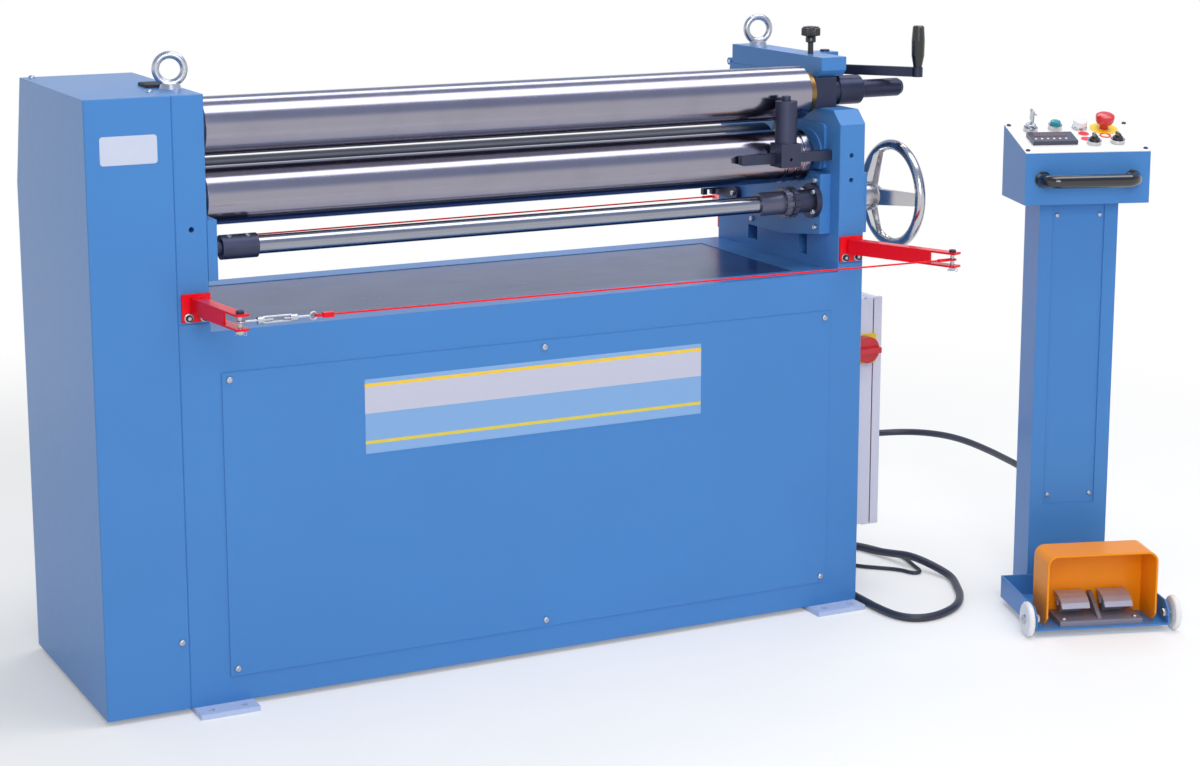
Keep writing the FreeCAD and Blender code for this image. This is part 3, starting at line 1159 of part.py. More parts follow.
# ---- trip wire --------------------------------------------------------------------------------------------------------------------------------------------
def trip_arm(x_root, tip, bracket_x0, bracket_x1):
    """Channel arm from a bracket on the front face to a forked tip."""
    root = Vector(x_root, front_y - bracket_t, wire_z)
    along = tip - root
    length = along.Length
    turn = math.degrees(math.atan2(along.y, along.x))
    arm = Part.makeBox(length + 12, arm_w, arm_h, Vector(0, -arm_w / 2, -arm_h / 2))
    arm = arm.cut(Part.makeBox(length - 20, arm_w - 4, arm_h - 8, Vector(6, -arm_w / 2 + 4 + 1, -arm_h / 2 + 4)))
    arm = arm.cut(Part.makeBox(60, arm_w + 2, arm_h - 8, Vector(length - 45, -arm_w / 2 - 1, -arm_h / 2 + 4)))
    arm = arm.cut(Part.makeCylinder(4.2, arm_h + 2, Vector(length, 0, -arm_h / 2 - 1)))
    arm.Placement = FreeCAD.Placement(root, FreeCAD.Rotation(Vector(0, 0, 1), turn))
    bracket = box(bracket_x0, bracket_x1, front_y - bracket_t, front_y, wire_z - bracket_low, wire_z + bracket_high)
    behind = box(-2 * end_x, 2 * end_x, front_y - bracket_t, back_y, 0, machine_top)
    return arm.cut(behind).fuse(bracket)


def trip_wire_set():
    left_middle = -half_span - bracket_w / 2
    right_middle = half_span + 1 + bracket_w / 2
    arms = [trip_arm(left_middle, left_arm_tip, left_middle - bracket_w / 2, left_middle + bracket_w / 2),
            trip_arm(right_middle, right_arm_tip, right_middle - bracket_w / 2, right_middle + bracket_w / 2)]
    save(group(arms + [at_back(arm) for arm in arms]), "trip_arms")
    for middle in (left_middle, right_middle):
        for x in (middle - 15, middle + 15):
            bolt = rod_y_axis(front_y - bracket_t - 6, front_y - bracket_t, x, wire_z - 23, 6.0)
            fasteners.extend([bolt, at_back(bolt)])
    for tip in (left_arm_tip, right_arm_tip):
        pin = rod_z_axis(wire_z - arm_h / 2 - 8, wire_z + arm_h / 2, tip.x, tip.y, 4.0)
        pin = pin.fuse(hex_prism((0, 0, 1), (tip.x, tip.y, wire_z + arm_h / 2), 13, 5))
        pin = pin.fuse(hex_prism((0, 0, -1), (tip.x, tip.y, wire_z - arm_h / 2), 13, 6))
        fasteners.extend([pin, at_back(pin)])


# ---- wire between the trip arms -------------------------------------------------------------------------------------------
wire_way = right_arm_tip - left_arm_tip
wire_turn = math.degrees(math.atan2(wire_way.y, wire_way.x))


def on_wire(shape):
    """Move a shape whose X runs along the wire from the left clevis pin to its place."""
    moved = shape.copy()
    placing = FreeCAD.Placement(left_arm_tip, FreeCAD.Rotation(Vector(0, 0, 1), wire_turn))
    moved.Placement = placing.multiply(moved.Placement)
    return moved


def flat_eye(along, ring_r, bar_r):
    return Part.makeTorus(ring_r, bar_r, Vector(along, 0, 0), Vector(0, 0, 1))


def turnbuckle():
    """Open-frame turnbuckle with an eye at each end."""
    eye_in = wire_eye_r + wire_eye_bar / 2
    second_eye = turnbuckle_eye_at
    body = flat_eye(0, wire_eye_r, wire_eye_bar).fuse(rod_x(eye_in, 33, 0, 0, 2.5))
    body = body.fuse(rod_x(31, 43, 0, 0, 6.5)).fuse(rod_x(92, 104, 0, 0, 6.5))
    for z in (-5.0, 5.0):
        body = body.fuse(rod_x(42, 93, 0, z, 2.2))
    body = body.fuse(rod_x(80, second_eye - eye_in, 0, 0, 2.5))
    body = body.fuse(rod_x(42, 60, 0, 0, 2.5))
    ring = Part.makeTorus(wire_eye_r, wire_eye_bar, Vector(second_eye, 0, 0), Vector(0, 1, 0))
    return on_wire(body.fuse(ring).removeSplitter())


def trip_wire():
    """Tight wire from a loop in the turnbuckle's eye, through its clamp, to an eye on the right clevis pin."""
    loop_at = turnbuckle_eye_at + wire_eye_r - wire_eye_bar + wire_loop_r - wire_r - side_clear
    end_at = wire_way.Length
    wire = flat_eye(loop_at, wire_loop_r, wire_r)
    wire = wire.fuse(rod_x(loop_at + wire_loop_r, end_at - wire_eye_r, 0, 0, wire_r))
    clamp_at = loop_at + wire_loop_r + 1
    wire = wire.fuse(box(clamp_at, clamp_at + 20, -6, 6, -4.5, 4.5))
    wire = wire.fuse(rod_x(end_at - 34, end_at - wire_eye_r - 1, 0, 0, 3.2))
    wire = wire.fuse(flat_eye(end_at, wire_eye_r, wire_eye_bar))
    wire = on_wire(wire.removeSplitter())
    save(group([wire, at_back(wire)]), "trip_wire")


# ---- cables ---------------------------------------------------------------------------------------------------------------------
def gland(mouth, inward, cable_r):
    """Cable gland: hexagon collar and tapered nut, whose mouth the cable leaves; inward points into the wall."""
    root = Vector(*mouth) + Vector(*inward) * gland_length
    out = Vector(*inward) * -1
    collar = hex_prism(tuple(out), tuple(root), 3.4 * cable_r + 4, 9)
    nut = Part.makeCone(1.55 * cable_r + 2, 1.15 * cable_r + 1.5, gland_length - 9, root + out * 9, out)
    return collar.fuse(nut)


def cable(points, radius, node):
    """Round cable along straight runs joined by tangent arcs, each as large as its two runs allow."""
    corners = [Vector(*point) for point in points]
    edges = []
    radii = []
    start = corners[0]
    for before, corner, after in zip(corners, corners[1:], corners[2:]):
        back = before - corner
        ahead = after - corner
        reach = 0.45 * min(back.Length, ahead.Length)
        half_turn = (math.pi - back.getAngle(ahead)) / 2
        bend = reach / math.tan(half_turn)
        back.normalize()
        ahead.normalize()
        middle = back + ahead
        middle.normalize()
        arc_start = corner + back * reach
        arc_end = corner + ahead * reach
        arc_middle = corner + middle * (bend / math.cos(half_turn) - bend)
        edges.append(Part.LineSegment(start, arc_start).toShape())
        edges.append(Part.Arc(arc_start, arc_middle, arc_end).toShape())
        radii.append(round(bend, 1))
        start = arc_end
    edges.append(Part.LineSegment(start, corners[-1]).toShape())
    path = Part.Wire(edges)
    profile = Part.Wire([Part.makeCircle(radius, corners[0], corners[1] - corners[0])])
    tube = path.makePipeShell([profile], True, False)
    share = tube.Volume / (math.pi * radius ** 2 * path.Length)
    print(node, "length", round(path.Length), "volume share", round(share, 4), "radii", radii)
    save(tube, node)


wall_exit = end_x + gland_length
cabinet_exit = cab_z0 - gland_length
column_exit = on_console(Part.Vertex(column_gland[0], column_gland[1] + gland_length, column_gland[2])).Point
column_out = console_place.Rotation.multVec(Vector(0, 1, 0))

console_cable_points = [
    (wall_exit, 225, 236), (838, 225, 236), (960, 227, 232), (1093, 223, 229), (1163, 190, 232), (1193, 110, 240),
    (1199, 20, 245), (1190, -90, 246), (1173, -170, 249), (1159, -228, 252),
    tuple(column_exit + column_out * 40), tuple(column_exit),
]
floor_cable_points = [
    (wall_exit, 165, 50), (806, 165, 50), (862, 152, 30), (912, 126, 12), (953, 86, 8.6), (968, 34, 9),
    (979, -22, 16), (987, -70, 24), (994, -114, 24), (1007, -160, 16), (1011, -210, 9), (984, -266, 8.6),
    (949, -333, 8.6), (900, -387, 8.6), (846, -415, 8.6), (806, -423, 8.6), (772, -414, 8.6), (751, -386, 8.6),
    (744, -335, 8.6), (745, -270, 8.6), (748, -200, 8.6), (752, -140, 10), (757, -98, 22), (762, -70, 46),
    (764, cab_y0 + 40, 70), (764, cab_y0 + 40, cabinet_exit),
]
thin_cable_points = [
    (800, cab_y0 + 170, cabinet_exit), (800, cab_y0 + 170, 74), (804, 64, 48), (815, 50, 22), (838, 22, 7), (866, -18, 4.6),
    (886, -46, 4.6), (912, -70, 4.6), (936, -92, 4.6), (949, -111, 4.6), (954, -130, 4.6), (964, -140, 4.6),
    (977, -137, 4.6), (984, -123, 4.6), (989, -98, 4.6), (998, -66, 4.6), (1007, -30, 4.6), (1004, 10, 4.6),
    (990, 56, 4.6), (975, 98, 4.6), (950, 138, 4.6), (912, 168, 7), (866, 188, 20), (824, 198, 36),
    (wall_exit + 26, 200, 44), (wall_exit, 200, 44),
]


def cables():
    cable(console_cable_points, console_cable_r, "console_cable")
    cable(floor_cable_points, floor_cable_r, "floor_cable")
    cable(thin_cable_points, thin_cable_r, "thin_cable")
    left = (-1, 0, 0)
    up = (0, 0, 1)
    for point, inward, radius in (
            (console_cable_points[0], left, console_cable_r), (floor_cable_points[0], left, floor_cable_r),
            (thin_cable_points[-1], left, thin_cable_r), (floor_cable_points[-1], up, floor_cable_r),
            (thin_cable_points[0], up, thin_cable_r), (tuple(column_exit), tuple(column_out * -1), console_cable_r)):
        fasteners.append(gland(point, inward, radius))


for spot_name, hole_r in (("key", 9.0), ("start", 9.0), ("lamp", 9.0), ("stop", 9.0), ("selector_a", 9.0),
                          ("selector_b", 9.0)):
    plate_holes.append((control_spots[spot_name][0], control_spots[spot_name][1], hole_r + run_clear))

base_cabinet()
front_panel()
foot_plates()
left_upright()
right_upright()
drive_cover()
rolls()
roll_bearings()
gears()
motor_unit()
pinch_drive()
gear_plate()
rear_stop()
handwheel()
top_cap()
rear_crank()
cone_guide()
electrical_cabinet()
switchgear()
console()
console_controls()
foot_pedal()
trip_wire_set()
front_turnbuckle = turnbuckle()
fasteners.extend([front_turnbuckle, at_back(front_turnbuckle)])
trip_wire()
cables()
save(group(fasteners), "fasteners")
save(group(housings), "bearing_housings")
save(group(panels), "access_panels")
save(group(fittings), "panel_fittings")
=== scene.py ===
"""Looks of a motor-driven slip roll machine and its control console.

Everything is in metres: +X runs along the rolls to the handwheel end, +Y to the back and +Z up. Spots of small
parts are written in millimetres and turned into metres with MM.
"""

import math

import bmesh
import bpy
from bpy.props import FloatProperty, FloatVectorProperty, PointerProperty
from mathutils import Matrix, Vector


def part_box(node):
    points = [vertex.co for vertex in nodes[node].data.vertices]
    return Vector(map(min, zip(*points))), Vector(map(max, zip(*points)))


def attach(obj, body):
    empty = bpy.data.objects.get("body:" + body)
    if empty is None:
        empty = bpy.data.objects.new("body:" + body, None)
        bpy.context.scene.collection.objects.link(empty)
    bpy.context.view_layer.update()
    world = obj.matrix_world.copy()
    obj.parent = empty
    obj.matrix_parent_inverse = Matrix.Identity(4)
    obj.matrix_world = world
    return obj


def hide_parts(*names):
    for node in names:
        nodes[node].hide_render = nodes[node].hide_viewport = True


bl_info = {
    "name": "Slip Roll Machine",
    "version": (1, 0, 0),
    "blender": (4, 5, 0),
    "location": "3D View > Sidebar > Slip Roll",
    "description": "Finishes, cables, plates and studio of a slip roll machine",
    "category": "Object",
}

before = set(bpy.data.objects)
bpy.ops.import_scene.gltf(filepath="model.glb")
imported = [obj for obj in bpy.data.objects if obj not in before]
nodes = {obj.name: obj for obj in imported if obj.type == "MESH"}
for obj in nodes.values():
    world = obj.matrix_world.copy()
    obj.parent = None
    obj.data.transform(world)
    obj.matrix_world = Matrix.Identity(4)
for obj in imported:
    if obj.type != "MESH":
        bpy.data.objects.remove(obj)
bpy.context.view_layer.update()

# ---- measures of the machine, in millimetres -----------------------------------------------------------------
MM = 0.001
MM_PER_METRE = 1000
PANEL_FACE = -252  # Y of the access panel's front
COVER_FACE = -250  # Y of the drive cover's front
COVER_TOP = 1159  # Z of the drive cover's top
GEAR_PLATE_FACE = 650  # X of the gear plate's left face
FLANGE_FACE = 638  # X of the round flange's left face
FLANGE_BOLTS = 29  # radius of the flange's bolt circle
BRACKET_FACE = 256  # distance of the trip brackets' faces from the middle, to the front and to the back
ROD_Y, ROD_Z = -190, 868  # axis of the connecting rod
CLEVIS_PINS = ((-681, -438), (797, -482), (-681, 438), (797, 482))  # X and Y of the trip wire's pins
KNOB_AXIS = (0.705, -0.080, 0)  # axis of the cap's knob, in metres
FILM = 0.0008  # thickness of a printed film or bare plate, in metres
SHARP_ANGLE = math.radians(32)
HEAD_STEP = math.radians(17)  # screw heads stop at different angles

WHITE = (1, 1, 1, 1)
RUBBED = (0.42, 0.42, 0.45, 1.0)  # steel that shows where black oxide is rubbed off
FRONT, LEFT, UP = (0, -1, 0), (-1, 0, 0), (0, 0, 1)


# ---- colours -------------------------------------------------------------------------------------------------
def linear(red, green, blue):
    """A screen colour of 0 to 255 as scene-linear values."""
    shares = [part / 255 for part in (red, green, blue)]
    return tuple(share / 12.92 if share <= 0.04045 else ((share + 0.055) / 1.055) ** 2.4 for share in shares)


def rgba(colour, factor=1.0):
    """A colour made lighter or darker, with full alpha."""
    return tuple(part * factor for part in colour) + (1.0,)


# ---- shader maths --------------------------------------------------------------------------------------------
class Sock:
    """A shader socket whose arithmetic adds Math nodes to its material."""

    def __init__(self, finish, socket):
        self.finish = finish
        self.socket = socket

    def maths(self, operation, *values):
        return self.finish.node("ShaderNodeMath", {"operation": operation}, dict(enumerate(values)))

    def __add__(self, other):
        return self.maths("ADD", self, other)

    __radd__ = __add__

    def __sub__(self, other):
        return self.maths("SUBTRACT", self, other)

    def __rsub__(self, other):
        return self.maths("SUBTRACT", other, self)

    def __mul__(self, other):
        return self.maths("MULTIPLY", self, other)

    def __gt__(self, other):
        return self.maths("GREATER_THAN", self, other)

    def __lt__(self, other):
        return self.maths("LESS_THAN", self, other)

    def between(self, low, high):
        return (self > low) * (self < high)

    def ramp(self, low, high):
        """0 below low, 1 above high, smooth between them."""
        settings = {"interpolation_type": "SMOOTHSTEP"}
        return self.finish.node("ShaderNodeMapRange", settings, {"Value": self, "From Min": low, "From Max": high})


class Finish:
    """The nodes of one surface: a material of its own, or the tree of the world."""

    def __init__(self, name, tree=None, **constants):
        self.material = None
        if tree is None:
            self.material = bpy.data.materials.new(name)
            self.material.use_nodes = True
            tree = self.material.node_tree
            self.surface = tree.nodes["Principled BSDF"]
            for socket, value in constants.items():
                self.surface.inputs[socket.replace("_", " ").title().replace("Ior", "IOR")].default_value = value
        self.tree = tree

    def node(self, kind, settings=None, sockets=None, output=0):
        """Add a node: its settings first, then the values or links of its sockets."""
        made = self.tree.nodes.new(kind)
        for name, value in (settings or {}).items():
            setattr(made, name, value)
        for key, value in (sockets or {}).items():
            if isinstance(value, Sock):
                self.tree.links.new(value.socket, made.inputs[key])
            else:
                made.inputs[key].default_value = value
        return Sock(self, made.outputs[output]) if len(made.outputs) else made

    def set(self, **links):
        """Link values that change over the surface to the shader's own sockets."""
        for socket, value in links.items():
            self.tree.links.new(value.socket, self.surface.inputs[socket.replace("_", " ").title()])

    def place(self):
        """Position on the piece, in metres."""
        return self.node("ShaderNodeTexCoord", output="Object")

    def stretched(self, scale):
        """Position on the piece with its own scale along each axis."""
        return self.node("ShaderNodeMapping", None, {"Vector": self.place(), "Scale": scale})

    def height(self, vector):
        return self.node("ShaderNodeSeparateXYZ", None, {0: vector}, output="Z")

    def noise(self, vector, scale, detail=3.0, rough=0.55):
        sockets = {"Vector": vector, "Scale": scale, "Detail": detail, "Roughness": rough}
        return self.node("ShaderNodeTexNoise", None, sockets, output="Fac")

    def mix(self, factor, a, b):
        """Colour a where factor is 0, colour b where it is 1."""
        return self.node("ShaderNodeMix", {"data_type": "RGBA"}, {0: factor, 6: a, 7: b}, output=2)

    def round_edges(self, radius):
        """Normal with its sharp edges rounded off."""
        return self.node("ShaderNodeBevel", {"samples": 4}, {"Radius": radius})

    def edge_mask(self, rounded):
        """1 on the rounded edges, 0 on the flats."""
        true_normal = self.node("ShaderNodeNewGeometry", output="True Normal")
        dot = self.node("ShaderNodeVectorMath", {"operation": "DOT_PRODUCT"}, {0: rounded, 1: true_normal},
                        output="Value")
        return (1 - dot).ramp(0.02, 0.25)

    def bump(self, height, distance, normal):
        return self.node("ShaderNodeBump", None, {"Height": height, "Distance": distance, "Normal": normal})

    def seen(self):
        """1 where the surface itself is looked at, directly, in a mirror or through glass, and 0 for its light."""
        camera, glossy, through = [self.node("ShaderNodeLightPath", output=name)
                                   for name in ("Is Camera Ray", "Is Glossy Ray", "Is Transmission Ray")]
        return (camera + glossy + through).ramp(0.0, 1.0)


# ---- finishes ------------------------------------------------------------------------------------------------
def enamel(name, colour, rough=0.3, peel=0.00006):
    """Sprayed machine enamel: orange peel, faint clouds, and edges a little lighter as a painted highlight."""
    finish = Finish(name, specular_ior_level=0.2, coat_roughness=0.12, coat_weight=0.05)
    place = finish.place()
    clouds = finish.noise(place, 2.6, 2.0)
    fine = finish.noise(place, 38.0)
    rounded = finish.round_edges(0.0012)
    # painted highlight: the rounded edges are painted a lighter tint of the enamel's own colour
    painted_edge_highlight = finish.edge_mask(rounded) * 0.25
    base = finish.mix(clouds, rgba(colour, 0.93), rgba(colour, 1.06))
    base = finish.mix(fine * 0.12, base, rgba(colour, 0.85))
    base = finish.mix(painted_edge_highlight, base, rgba([min(1.0, part * 1.25 + 0.03) for part in colour]))
    skin = finish.noise(place, 520.0, 2.0)
    finish.set(base_color=base, roughness=rough - 0.05 + clouds * 0.07 + fine * 0.05,
               normal=finish.bump(skin, peel, rounded))
    return finish.material


def bare_metal(name, colour, rough, grain=(1, 1, 1), grain_scale=900.0, depth=0.00002, metal=1.0, gloss=0.5):
    """Machined metal with a grain direction, faint stains and softened edges."""
    finish = Finish(name, metallic=metal, specular_ior_level=gloss)
    lines = finish.noise(finish.stretched(grain), grain_scale, 3.0, 0.65)
    stains = finish.noise(finish.place(), 7.0, 4.0)
    base = finish.mix(stains.ramp(0.35, 0.75) * 0.25, rgba(colour), rgba(colour, 0.72))
    base = finish.mix(lines * 0.25, base, rgba(colour, 0.88))
    finish.set(base_color=base, roughness=rough + (lines - 0.5) * 0.1 + stains * 0.06,
               normal=finish.bump(lines, depth, finish.round_edges(0.0006)))
    return finish.material


def oxide(name, colour, rough=0.42, shine=0.35):
    """Black-oxide steel with rubbed bright edges."""
    finish = Finish(name, metallic=0.75)
    place = finish.place()
    clouds = finish.noise(place, 14.0, 4.0)
    fine = finish.noise(place, 700.0, 2.0)
    rounded = finish.round_edges(0.0008)
    base = finish.mix(clouds, rgba(colour, 0.75), rgba(colour, 1.35))
    base = finish.mix(finish.edge_mask(rounded) * shine, base, RUBBED)
    finish.set(base_color=base, roughness=rough - 0.08 + clouds * 0.16 + fine * 0.08,
               normal=finish.bump(fine, 0.00003, rounded))
    return finish.material


def moulded(name, colour, rough=0.35, grain=900.0, depth=0.00002, coat=0.0, shade=0.12):
    """Moulded plastic or rubber."""
    finish = Finish(name, coat_roughness=0.08, coat_weight=coat)
    place = finish.place()
    clouds = finish.noise(place, 22.0)
    fine = finish.noise(place, grain, 2.0)
    base = finish.mix(clouds, rgba(colour, 1 - shade), rgba(colour, 1 + shade))
    finish.set(base_color=base, roughness=rough - 0.04 + clouds * 0.08,
               normal=finish.bump(fine, depth, finish.round_edges(0.0005)))
    return finish.material


def ground_roll(name, colour, rough=0.15):
    """Ground roll: fine rings round the roll, long soft bands, a trace of oil stains."""
    finish = Finish(name, metallic=1.0)
    rings = finish.noise(finish.stretched((1.0, 0.02, 0.02)), 420.0, 5.0, 0.7)
    bands = finish.noise(finish.stretched((1.0, 0.05, 0.05)), 9.0)
    stains = finish.noise(finish.place(), 12.0, 5.0)
    base = finish.mix(stains.ramp(0.45, 0.8) * 0.3, rgba(colour), rgba(colour, 0.7))
    base = finish.mix(rings * 0.2, base, rgba(colour, 0.84))
    finish.set(base_color=base, roughness=rough + (rings - 0.5) * 0.12 + bands * 0.07,
               normal=finish.bump(rings, 0.00001, finish.round_edges(0.0012)))
    return finish.material


def banner_stripes():
    """Printed film: two yellow lines on pale bands, placed by their height over the floor."""
    finish = Finish("banner_stripes", coat_weight=0.6, coat_roughness=0.08)
    up = finish.height(finish.place())
    grain = finish.noise(finish.place(), 240.0, 2.0)
    base = finish.mix(up.between(0.538, 0.5905), rgba(linear(122, 166, 216)), rgba(linear(190, 191, 210)))
    for low, high, colour in ((0.484, 0.538, linear(118, 163, 214)), (0.5895, 0.5962, linear(238, 196, 22)),
                              (0.4785, 0.4848, linear(218, 196, 34))):
        base = finish.mix(up.between(low, high), base, rgba(colour))
    base = finish.mix(grain * 0.06, base, (0.2, 0.3, 0.5, 1.0))
    finish.set(base_color=base, roughness=0.28 + grain * 0.06)
    return finish.material


class Finishes:
    """The finishes, made once and shared by the pieces."""

    def __init__(self, colours):
        self.blue = enamel("blue_enamel", colours.enamel)
        self.grey = enamel("grey_powder", colours.cabinet, 0.42, 0.00012)
        self.red = enamel("signal_red", colours.guard, 0.22)
        self.orange = enamel("orange_enamel", colours.hood, 0.28, 0.0001)
        self.foot = enamel("foot_enamel", linear(180, 196, 230), 0.26)

        self.roll = ground_roll("ground_roll", linear(156, 153, 166))
        # dark copy of the ground roll: the same steel painted nearly black, as painted shade for the rear roll in
        # the gap between the rolls
        self.roll_painted_dark_shade = ground_roll("roll_painted_dark_shade", linear(44, 46, 56), 0.26)
        self.steel = bare_metal("turned_steel", linear(158, 161, 172), 0.16, (1, 0.05, 0.05))
        self.chrome = bare_metal("polished_rim", linear(198, 196, 198), 0.16, (1, 1, 1), 60.0, 0.00006)
        self.zinc = bare_metal("bright_zinc", linear(190, 194, 202), 0.28, (1, 1, 1), 300.0, 0.00003)
        self.tray = bare_metal("tray_sheet", linear(46, 82, 140), 0.22, (0.1, 1, 1), 120.0, 0.00001, 0.35, 0.25)
        self.bronze = bare_metal("turned_bronze", linear(150, 118, 72), 0.32, (1, 0.1, 0.1))
        self.gear = bare_metal("gear_steel", linear(130, 130, 136), 0.34, (1, 0.2, 0.2))
        self.pad = bare_metal("pedal_casting", linear(186, 188, 206), 0.42, (0.1, 1, 1), 520.0, 0.00008, 0.4)
        self.pedal_base = bare_metal("pedal_base_casting", linear(132, 134, 152), 0.48, (1, 1, 1), 420.0, 0.00008,
                                     0.4)
        self.casting = bare_metal("grey_casting", linear(120, 125, 136), 0.5, (1, 1, 1), 380.0, 0.0001)
        self.black = oxide("black_oxide", linear(64, 68, 90))
        self.black_fine = oxide("black_machined", linear(54, 58, 80), 0.34)
        self.worn_oxide = oxide("worn_oxide", linear(96, 98, 118), 0.34, 0.7)

        self.knob_black = moulded("black_moulding", linear(22, 22, 26), 0.24, coat=0.4)
        self.handle_black = moulded("gloss_black", linear(14, 14, 20), 0.12, coat=0.8)
        self.sheath = moulded("cable_sheath", linear(46, 50, 66), 0.42, 500.0, 0.00003)
        self.gland = moulded("gland_nylon", linear(30, 31, 36), 0.4)
        self.red_plastic = moulded("red_moulding", linear(205, 34, 44), 0.3, coat=0.3)
        self.yellow = moulded("yellow_moulding", linear(238, 206, 30), 0.4)
        self.teal = moulded("teal_moulding", linear(0, 140, 156), 0.25, coat=0.4)
        self.white = moulded("white_laminate", linear(236, 236, 238), 0.35, shade=0.02)
        self.wheel_white = moulded("white_wheel", linear(228, 229, 232), 0.42, shade=0.04)
        self.gasket = moulded("gasket_rubber", linear(120, 36, 44), 0.6)
        self.lamp_white = moulded("lamp_white", linear(232, 236, 242), 0.1, coat=0.8, shade=0.03)
        self.display_case = moulded("display_case", linear(52, 55, 76), 0.3, coat=0.3)
        self.window = moulded("display_window", linear(96, 62, 50), 0.12, coat=0.8)
        self.bare_plate = moulded("bare_plate", linear(196, 204, 224), 0.3, shade=0.02)
        # near-black sheet for the notch in the drive cover's top: painted shade standing in for the shaded slot
        self.rubber = moulded("black_sheet_for_notch_shade", linear(30, 32, 40), 0.6, 300.0, 0.00006)
        self.print_red = moulded("red_print", linear(226, 40, 44), 0.4, shade=0.04)
        self.banner = banner_stripes()


def give(material, *names):
    """Give CAD nodes one finish."""
    for name in names:
        mesh = nodes[name].data
        mesh.materials.clear()
        mesh.materials.append(material)
        for face in mesh.polygons:
            face.material_index = 0


def give_where(material, name, test):
    """Give the faces of a CAD node whose middle passes a test another finish."""
    mesh = nodes[name].data
    mesh.materials.append(material)
    index = len(mesh.materials) - 1
    for face in mesh.polygons:
        if test(face.center):
            face.material_index = index


def near(point, reach):
    """Test for faces within reach of a point."""
    centre = Vector(point)
    return lambda place: (place - centre).length < reach


def within(low, high):
    """Test for faces inside a box."""
    return lambda place: all(a <= part <= b for a, part, b in zip(low, place, high))


# ---- building helpers ----------------------------------------------------------------------------------------
def piece(name, mesh_maker, material, body="root"):
    """New object from a bmesh that mesh_maker fills, riding on a body."""
    shape = bmesh.new()
    mesh_maker(shape)
    bmesh.ops.recalc_face_normals(shape, faces=shape.faces)
    mesh = bpy.data.meshes.new(name)
    shape.to_mesh(mesh)
    shape.free()
    for face in mesh.polygons:
        face.use_smooth = True
    mesh.set_sharp_from_angle(angle=SHARP_ANGLE)
    mesh.materials.append(material)
    made = bpy.data.objects.new(name, mesh)
    bpy.context.scene.collection.objects.link(made)
    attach(made, body)
    return made


def along(point, direction, spin=0.0):
    """Frame at a point whose Z axis is a direction."""
    turn = Vector(direction).to_track_quat("Z", "Y").to_matrix().to_4x4()
    return Matrix.Translation(Vector(point)) @ turn @ Matrix.Rotation(spin, 4, "Z")


def facing_front(x, y, z):
    """Frame on a front face: X along the machine, Y up, Z out of the face."""
    return Matrix.Translation((x * MM, y * MM, z * MM)) @ Matrix.Rotation(math.pi / 2, 4, "X")


def circle(place, radius, count=28):
    """Points round the place's own Z axis."""
    turns = [2 * math.pi * i / count for i in range(count)]
    return [place @ Vector((radius * math.cos(turn), radius * math.sin(turn), 0)) for turn in turns]


def bridge(shape, low, high, turn=0):
    """Faces between two rings of vertices."""
    count = len(low)
    for i in range(count):
        j = (i + 1) % count
        shape.faces.new((low[i], low[j], high[(j + turn) % count], high[(i + turn) % count]))


def stack(shape, rings):
    """Closed skin over a row of rings."""
    for low, high in zip(rings, rings[1:]):
        bridge(shape, low, high)
    shape.faces.new(rings[0])
    shape.faces.new(rings[-1])


def lathe(shape, profile, place, sides):
    """Turn a profile of (radius, height) round the place's own Z axis. A radius may be a function of the angle."""
    rings = []
    for radius, height in profile:
        ring = []
        for i in range(sides):
            angle = 2 * math.pi * i / sides
            reach = radius(angle) if callable(radius) else radius
            spot = Vector((reach * math.cos(angle), reach * math.sin(angle), height))
            ring.append(shape.verts.new(place @ spot))
        rings.append(ring)
    stack(shape, rings)


def rounded_plate(shape, width, height, depth, corner, place, lip=0.0003):
    """Flat plate with round corners, its back on the place's XY plane and its front edge eased."""
    outline = []
    for across, up, start in ((1, 1, 0), (-1, 1, 90), (-1, -1, 180), (1, -1, 270)):
        for step in range(7):
            angle = math.radians(start + 15 * step)
            outline.append((across * (width / 2 - corner) + corner * math.cos(angle),
                            up * (height / 2 - corner) + corner * math.sin(angle)))
    rings = []
    for inset, level in ((0.0, 0.0), (0.0, depth - lip), (lip, depth)):
        wide, high = 1 - 2 * inset / width, 1 - 2 * inset / height
        rings.append([shape.verts.new(place @ Vector((x * wide, y * high, level))) for x, y in outline])
    stack(shape, rings)


def wire(shape, path, radius, closed=False):
    """Round wire through points."""
    sides, count = 8, len(path)
    rings = []
    for i, point in enumerate(path):
        before = path[i - 1] if i or closed else point
        after = path[(i + 1) % count] if i < count - 1 or closed else point
        section = circle(along(point, Vector(after) - Vector(before)), radius, sides)
        rings.append([shape.verts.new(spot) for spot in section])
    for low, high in list(zip(rings, rings[1:])) + ([(rings[-1], rings[0])] if closed else []):
        bridge(shape, low, high, min(range(sides), key=lambda k: (high[k].co - low[0].co).length))
    if not closed:
        shape.faces.new(rings[0])
        shape.faces.new(rings[-1])


def slab(shape, low, high, place, bevel):
    """Box between two corners with rounded edges."""
    low, high = Vector(low), Vector(high)
    made = bmesh.ops.create_cube(shape, size=1.0)["verts"]
    for vert in made:
        vert.co = Vector((low[i] + (vert.co[i] + 0.5) * (high[i] - low[i]) for i in range(3)))
    edges = {edge for vert in made for edge in vert.link_edges}
    made = bmesh.ops.bevel(shape, geom=list(edges), offset=bevel, segments=2, profile=0.5, affect="EDGES")["verts"]
    for vert in made:
        vert.co = place @ vert.co


def hexagon(radius):
    """Radius of a hexagon by angle."""
    step = math.pi / 3
    return lambda angle: radius * math.cos(math.pi / 6) / math.cos((angle % step) - math.pi / 6)


def cross(arm, waist, share):
    """Radius of a cross recess by angle."""
    return lambda angle: (waist + (arm - waist) * abs(math.cos(2 * angle)) ** 6) * share


